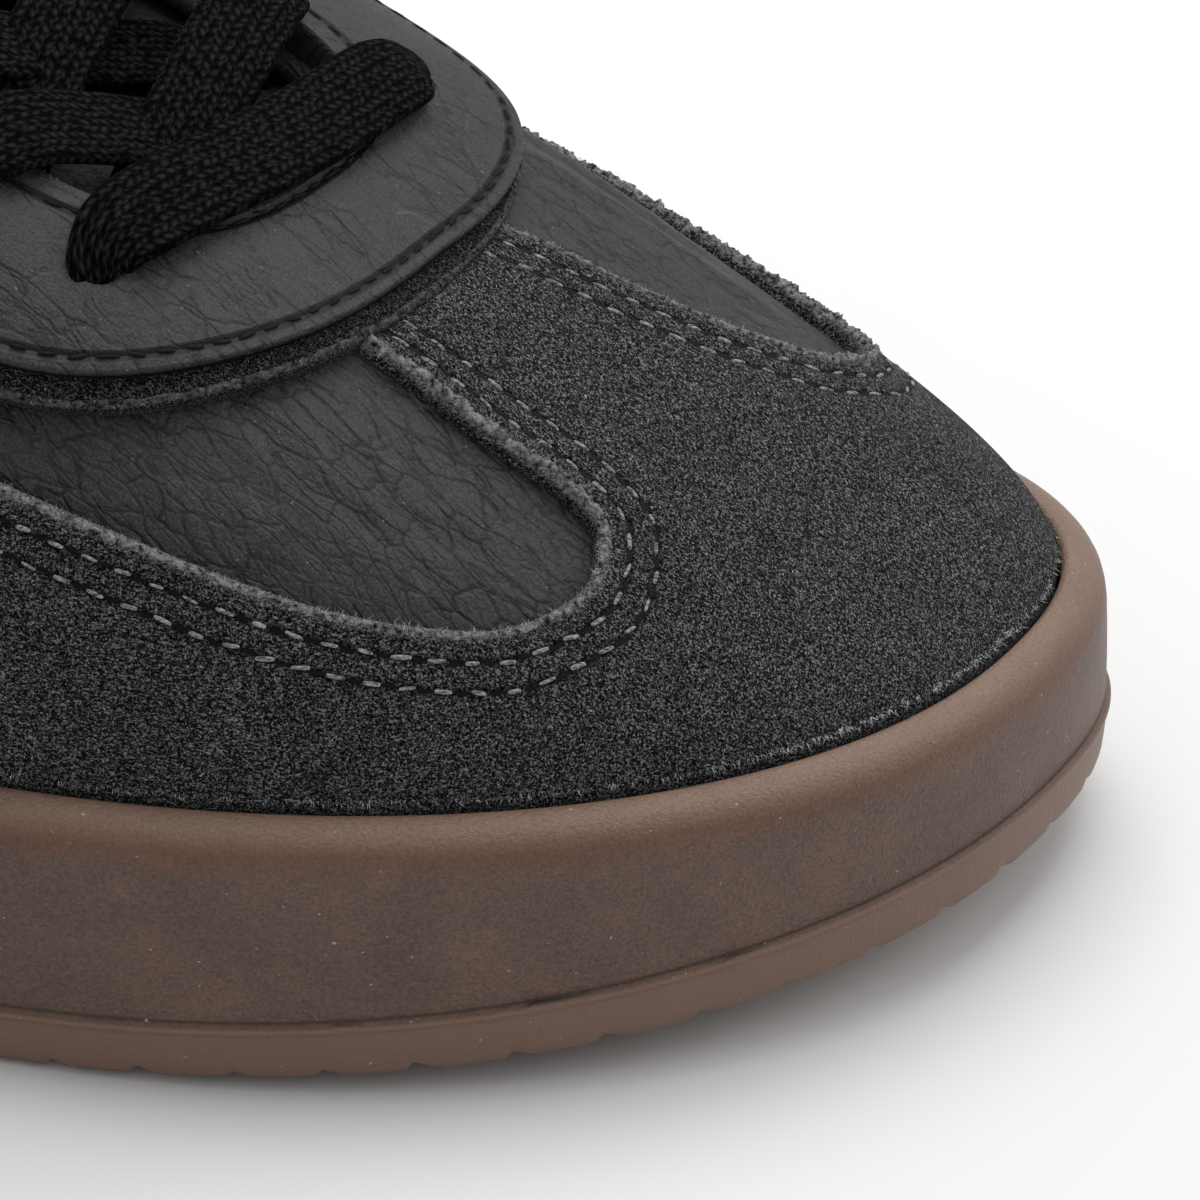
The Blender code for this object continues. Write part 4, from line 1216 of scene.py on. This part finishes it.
def makeBand(name, outerMargin, innerEdge, form, look, node, profile, throat):
    shape = bmesh.new()
    outside = inEyestay(outerMargin)
    columns = bandColumns(edges["eyestayFront"] + outerMargin)
    part = rowsTo(form["rows"], form["crowd"], form["crowd"])
    lines = {}
    for side in sides:
        low = firstHeight(side, columns, outside)
        high = firstHeight(side, columns, innerEdge)
        low[-1] = high[-1]
        low = np.minimum(low, high)
        sheetOf(shape, stripOn(side, columns, low, high, part, form["grow"]), flip=side > 0)
        points, normal, up = edgeFrame(side, columns, low, form["grow"])
        sheetOf(shape, skirt(points, normal, -up, profile), flip=side < 0)
        lines[side] = (points, normal, up)
        height = low[0] + (high[0] - low[0]) * part
        end, ahead = (lastPoint(side, share, height, form["grow"]) for share in columns[:2])
        endNormal = lastNormal(side, columns[0], height, form["grow"])
        endProfile = throatSkirt if throat else profile
        sheetOf(shape, skirt(end, endNormal, unit(end - ahead), endProfile), flip=side > 0)
        if throat:
            cutAway = np.flatnonzero(high < 1)
            rim = np.arange(cutAway[0], min(cutAway[-1] + 2, len(columns)))
            inner, innerNormal, innerUp = edgeFrame(side, columns[rim], high[rim], form["grow"])
            sheetOf(shape, skirt(inner, innerNormal, innerUp, throatSkirt), flip=side > 0, finish=1)
            lines["throat", side] = (inner, innerNormal, innerUp)
    if throat:
        punch(shape, form["grow"], form["holeDepth"], laceRun["holeRadius"])
    piece = newPiece(name, shape, look, node)
    keepGap(piece, "edge", [lines[side][0] for side in sides])
    if throat:
        keepGap(piece, "throat", [lines["throat", side][0] for side in sides])
    return piece, lines


_, trimLines = makeBand(
    "suedeTrim", edges["trimShows"], inEyestay(-trimForm["tuck"]), trimForm, [looks["trim"]],
    "eyestay_trim", trimSkirt, False)
leatherEyestay, eyestayLines = makeBand(
    "leatherEyestay", 0.0, inOpening, eyestayForm, [looks["eyestay"], looks["rawEdge"]],
    "eyestay", eyestaySkirt, True)

# Tongue of leather over thin foam
tongueForm = {
    "front": 88.0, "top": -35.0, "under": -5.6, "over": -2.8, "columns": 150, "crowd": 1.6, "around": 60,
    "squareWide": 0.6, "squareTall": 0.55, "endRun": 1.4, "endIn": 1.2, "endThin": 0.02,
}
tongueHalf = table("x half", [
    (-35, 13), (-34.7, 14.9), (-34, 16.3), (-33, 17.5), (-31, 18.5), (-28, 19),
    (-12, 21.5), (0, 25), (50, 26), (90, 20)])
tongueRise = table("x rise", [(-35, 5.0), (-28, 1.2), (-22, -0.8), (-8, -0.8), (6, 0)])


def makeTongue():
    f = tongueForm
    x = f["top"] + (f["front"] - f["top"]) * np.linspace(0, 1, f["columns"]) ** f["crowd"]
    turn = np.linspace(0, 2 * np.pi, f["around"] + 1)
    flat = squarish(np.cos(turn), f["squareWide"])
    full = squarish(np.sin(turn), f["squareTall"])
    ends = np.sqrt(np.clip(1 - (1 - np.minimum(x - f["top"], f["front"] - x) / f["endRun"]), 0, 1))
    half = along(tongueHalf, "half", x) - f["endIn"] * (1 - ends)
    y = axis(x)[:, None] + half[:, None] * flat[None, :]
    mid, thick = (f["over"] + f["under"]) / 2, (f["over"] - f["under"]) / 2
    grow = mid + thick * full[None, :] * np.maximum(ends, f["endThin"])[:, None]
    xs = np.broadcast_to(x[:, None], y.shape)
    z = lift(xs, y, grow) + along(tongueRise, "rise", xs)
    shape = bmesh.new()
    sheetOf(shape, np.stack([xs, y, z], -1), flip=True)
    bmesh.ops.holes_fill(shape, edges=[e for e in shape.edges if e.is_boundary], sides=0)
    piece = newPiece("leatherTongue", shape, [looks["eyestay"]], "tongue")
    for name in ("edge", "throat"):
        keep(piece, name, np.full(len(piece.data.vertices), 9.0))


makeTongue()

# Stitches: short lengths of thread, each a small rounded bead, with a small dark patch between two as painted
# shadow in the needle hole
stitchForm = {
    "length": 1.9, "pitch": 2.9, "wide": 0.42, "tall": 0.42, "leatherPitch": 2.4, "leatherLength": 2.2,
    # hole sizes are those of the dark patches painted as shadow in the needle holes
    "sink": 0.06, "holeLong": 1.25, "holeWide": 0.36, "holeRise": 0.035, "uneven": 0.12,
    "stray": 0.6, "dive": 0.22,
}


def stitchRow(seat, line, pitch, length):
    f = stitchForm
    points = spaced(line, pitch / 8)[0]
    run = unit(np.gradient(points, axis=0))
    t = np.linspace(-1, 1, 7)[None, :, None, None]

    def placesOf(pick):
        spot, up = (v[:, None, None] for v in seated(seat, points[pick]))
        across = np.cross(up, run[pick][:, None, None])
        stray = chance.normal(size=(4, len(pick), 1, 1, 1)) * f["uneven"]
        ahead = run[pick][:, None, None] * (1 + stray[0]) + across * stray[1]
        return spot + across * stray[2] * f["stray"], up, ahead, across * (1 + stray[3])

    spot, up, ahead, across = placesOf(np.arange(4, len(points), 8))
    turn = np.linspace(0, -2 * np.pi, 9)[None, None, :, None]
    full = np.sqrt(np.clip(1 - abs(t) ** 3, 0, 1)) / 2
    tall = up * (np.sin(turn) * full * f["tall"] - f["sink"] - f["dive"] * t ** 4)
    threads = spot + ahead * t * length / 2 + across * np.cos(turn) * full * f["wide"] + tall
    # Dark patches between the stitches: painted shadow in the needle holes
    spot, up, ahead, across = placesOf(np.arange(8, len(points) - 4, 8))
    s = np.linspace(-0.5, 0.5, 4)[None, None, :, None] * np.sqrt(np.clip(1 - t ** 2, 0, 1))
    holes = spot + ahead * t * f["holeLong"] / 2 + across * s * f["holeWide"] + up * f["holeRise"]
    return threads, holes


def makeStitches():
    f = stitchForm
    pale, black = [], []
    suedeSeat, eyestaySeat, upperSeat = (seatOf(piece) for piece in (suedeToe, leatherEyestay, leatherUpper))
    leatherRow = (f["leatherPitch"], f["leatherLength"])
    for side in sides:
        points, _, inward = windowLines[side]
        for off in suedeForm["rows"]:
            pale.append(stitchRow(suedeSeat, points - inward * off, f["pitch"], f["length"]))
        points, _, up = eyestayLines[side]
        black.append(stitchRow(eyestaySeat, points + up * eyestayForm["edgeRow"], *leatherRow))
        points, _, up = eyestayLines["throat", side]
        black.append(stitchRow(eyestaySeat, points - up * eyestayForm["throatRow"], *leatherRow))
        for name in ("collar", "heel"):
            black.append(stitchRow(upperSeat, upperRows[name, side], *leatherRow))
    shape = bmesh.new()
    scatterOf(shape, np.concatenate([threads for threads, holes in pale]))
    scatterOf(shape, np.concatenate([threads for threads, holes in black]), finish=1)
    scatterOf(shape, np.concatenate([holes for threads, holes in pale]), finish=2)
    finishes = [looks[name] for name in ("paleThread", "blackThread", "holeShadow")]
    newPiece("threadStitches", shape, finishes)


makeStitches()

# Cut edge of the suede: a lumpy roll of torn fibres round each window, thick where the photo shows its side
ropeForm = {
    "step": 0.2, "around": 12, "flat": 0.8, "turnRun": 9.0, "taper": 1.5,
    "guard": (0.42, 0.95), "bar": (0.8, 0.36), "trim": (0.42, 0.3),  # radius on the outer and inner side
    "lump": 0.75, "lumpDepth": 0.5, "fine": 0.3, "fineDepth": 0.4,
}


def lumpsAt(points, size):
    return np.array([lumps.noise(Vector(p) / size) for p in points.reshape(-1, 3)]).reshape(points.shape[:-1])


def rope(shape, line, normal, outward, size, flip):
    f = ropeForm
    turn = np.linspace(0, -2 * np.pi, f["around"] + 1)[None, :, None]
    points, up, out, size = spaced(line, f["step"], [normal, outward, size[:, None]])
    run = travel(points)
    size = size * ease(np.minimum(run, run[-1] - run) / f["taper"])[:, None]
    loop = out[:, None] * np.cos(turn) * f["flat"] + up[:, None] * np.sin(turn)
    centre = points - (out * 0.5 + up * 0.5) * size
    grid = centre[:, None] + loop * size[..., None]
    swell = 1 + f["lumpDepth"] * lumpsAt(grid, f["lump"]) + f["fineDepth"] * lumpsAt(grid, f["fine"])
    sheetOf(shape, centre[:, None] + loop * (size * swell)[..., None], flip=flip)


def makeCutEdge():
    f = ropeForm
    shape = bmesh.new()
    for k, side in enumerate(sides):
        line, normal, inward = windowLines[side]
        run = travel(line)
        toBar = ease((run - run[len(guardColumns())]) / f["turnRun"] + 0.5)
        rope(shape, line, normal, inward, f["guard"][k] + (f["bar"][k] - f["guard"][k]) * toBar, side > 0)
    newPiece("suedeCutEdge", shape, [looks["cutEdge"]])
    shape = bmesh.new()
    for k, side in enumerate(sides):
        line, normal, up = trimLines[side]
        rope(shape, line, normal, -up, np.full(len(line), f["trim"][k]), side < 0)
    newPiece("trimCutEdge", shape, [looks["trimEdge"]])


makeCutEdge()

# Fuzz: loose fibres, each a narrow bent blade, in clumps along the suede's edges and thinly over the laces
fuzzForm = {
    "width": 0.055, "clumpSize": 0.14, "pale": (0.25, 0.8), "short": (0.12, 0.45), "dark": (0.2, 0.6),
    "lacePerMm": 9, "lace": (0.2, 0.6), "laceWidth": 0.035,
    "footRise": (0.75, 0.4),  # on the outer and inner side
    "wayUp": 0.5, "wayOut": 0.35, "wild": 0.55, "bend": 0.8, "slim": (1.0, 0.8, 0.25),
}
# Side, edge, fibres to the millimetre, width of the band they root in, how many to a clump, and kind
fuzzRows = [
    (-1, "guard", 62, 0.5, 9, "pale"), (-1, "bar", 80, 1.5, 9, "pale"), (-1, "trim", 16, 1.6, 9, "dark"),
    (-1, "trim", 14, 0.5, 7, "short"), (-1, "throat", 16, 0.05, 5, "short"), (-1, "foot", 14, 0.2, 3, "pale"),
    (1, "guard", 30, 0.6, 9, "dark"), (1, "guard", 12, 0.4, 5, "short"), (1, "bar", 42, 0.4, 7, "short"),
    (1, "trim", 8, 0.6, 6, "dark"), (1, "throat", 16, 0.05, 5, "short"), (1, "foot", 8, 0.2, 3, "pale"),
]


def fuzzLine(side, edge):
    # An edge's points, normals, and the way out over it
    bars = len(guardColumns())
    if edge in ("guard", "bar"):
        part = slice(None, bars) if edge == "guard" else slice(bars, None)
        return [v[part] for v in windowLines[side]]
    if edge == "trim":
        points, normal, up = trimLines[side]
        return points, normal, -up
    if edge == "throat":
        points, normal, up = eyestayLines["throat", side]
        return points - normal * 0.2, normal, up
    share = np.linspace(guardEdge["share"][0], 1, 300)
    points, normal, up = edgeFrame(side, share, np.zeros(300), suedeForm["grow"])
    return points + np.array([0, 0, fuzzForm["footRise"][side > 0]]), normal, -up


def fibreRoots(points, normal, outward, perMm, band, clump):
    run = travel(points)
    count = int(run[-1] * perMm / clump)
    pick = chance.random(count) * run[-1]
    root, up, out = (sampled(pick, run, v) for v in (points, normal, outward))
    root = root - out * chance.random(count)[:, None] ** 1.5 * band - up * 0.1
    root, up, out = (np.repeat(v, clump, 0) for v in (root, up, out))
    return root + chance.normal(size=root.shape) * fuzzForm["clumpSize"], unit(up), unit(out)


def blades(sets, reach, width):
    f = fuzzForm
    root, up, out = (np.concatenate([s[k] for s in sets]) for k in range(3))
    count = len(root)
    wild = chance.normal(size=(count, 3))
    way = unit(up * f["wayUp"] + out * f["wayOut"] + wild * f["wild"])
    low, high = reach
    length = (low + (high - low) * chance.random(count) ** 2)[:, None]
    across = unit(np.cross(way, wild + up)) * width / 2
    bent = unit(way + chance.normal(size=(count, 3)) * f["bend"])
    knee = root + way * length * 0.5
    rows = np.stack([root, knee, knee + bent * length * 0.5], 1)
    slim = np.array(f["slim"])[None, :, None]
    return np.stack([rows - across[:, None] * slim, rows + across[:, None] * slim], 1)


def makeFuzz():
    f = fuzzForm
    shape = bmesh.new()
    for kind, finish in (("pale", 0), ("short", 0), ("dark", 1)):
        rows = [row for row in fuzzRows if row[-1] == kind]
        sets = [fibreRoots(*fuzzLine(side, edge), *counts) for side, edge, *counts, _ in rows]
        scatterOf(shape, blades(sets, f[kind], f["width"]), finish)
    newPiece("suedeFuzz", shape, [looks["fuzz"], looks["darkFuzz"]], merge=0)


def makeLaceFuzz():
    f = fuzzForm
    sets = []
    for path, normal, half in laceLines:
        count = int(travel(path)[-1] * f["lacePerMm"])
        pick = chance.integers(0, len(path), count)
        out = chance.random(count)[:, None] * 2 - 1
        full = np.sqrt(1 - out ** 4)
        root = path[pick] + half[pick] * out * 0.97 + normal[pick] * full * laceRun["thick"] * 0.5
        sets.append((root, normal[pick], unit(half[pick]) * np.sign(out)))
    shape = bmesh.new()
    scatterOf(shape, blades(sets, f["lace"], f["laceWidth"]))
    newPiece("laceFuzz", shape, [looks["cottonFuzz"]], merge=0)


makeFuzz()
makeLaceFuzz()

# Floor and light
studio = {
    "floor": (0.74, 0.74, 0.74), "paler": (0.78, 0.78, 0.78), "cloud": 3.0, "roughness": 0.8,
    "half": 3.0, "sky": 0.62, "aim": (0.09, 0, 0.03),  # in metres
}
# Name, power, size and place in metres
lamps = [("keyLight", 6.6, 0.8, (0.0, 0.36, 0.86)), ("rimLight", 1.8, 0.6, (0.75, 0.45, 0.55))]


def makeStudio():
    shape = bmesh.new()
    bmesh.ops.create_grid(shape, x_segments=4, y_segments=4, size=studio["half"])
    mesh = bpy.data.meshes.new("floor")
    shape.to_mesh(mesh)
    shape.free()
    look, tree, shader = newLook("paleFloor")
    cloud = noise(tree, placed(tree), studio["cloud"])
    tone = ramp(tree, cloud, [(0.0, studio["floor"]), (1.0, studio["paler"])])
    connect(tree, shader, {"Base Color": tone, "Roughness": studio["roughness"]})
    mesh.materials.append(look)
    floor = bpy.data.objects.new("floor", mesh)
    bpy.context.scene.collection.objects.link(floor)
    world = bpy.data.worlds.new("studio")
    bpy.context.scene.world = world
    world.use_nodes = True
    sky = world.node_tree.nodes["Background"]
    connect(world.node_tree, sky, {"Color": (1, 1, 1, 1), "Strength": studio["sky"]})
    for name, power, size, place in lamps:
        lamp = bpy.data.lights.new(name, "AREA")
        lamp.energy = power
        lamp.size = size
        holder = bpy.data.objects.new(name, lamp)
        holder.location = place
        away = Vector(place) - Vector(studio["aim"])
        holder.rotation_euler = away.to_track_quat("Z", "Y").to_euler()
        bpy.context.scene.collection.objects.link(holder)
    bpy.context.scene.view_settings.view_transform = "Standard"


makeStudio()
print("floor and light placed")
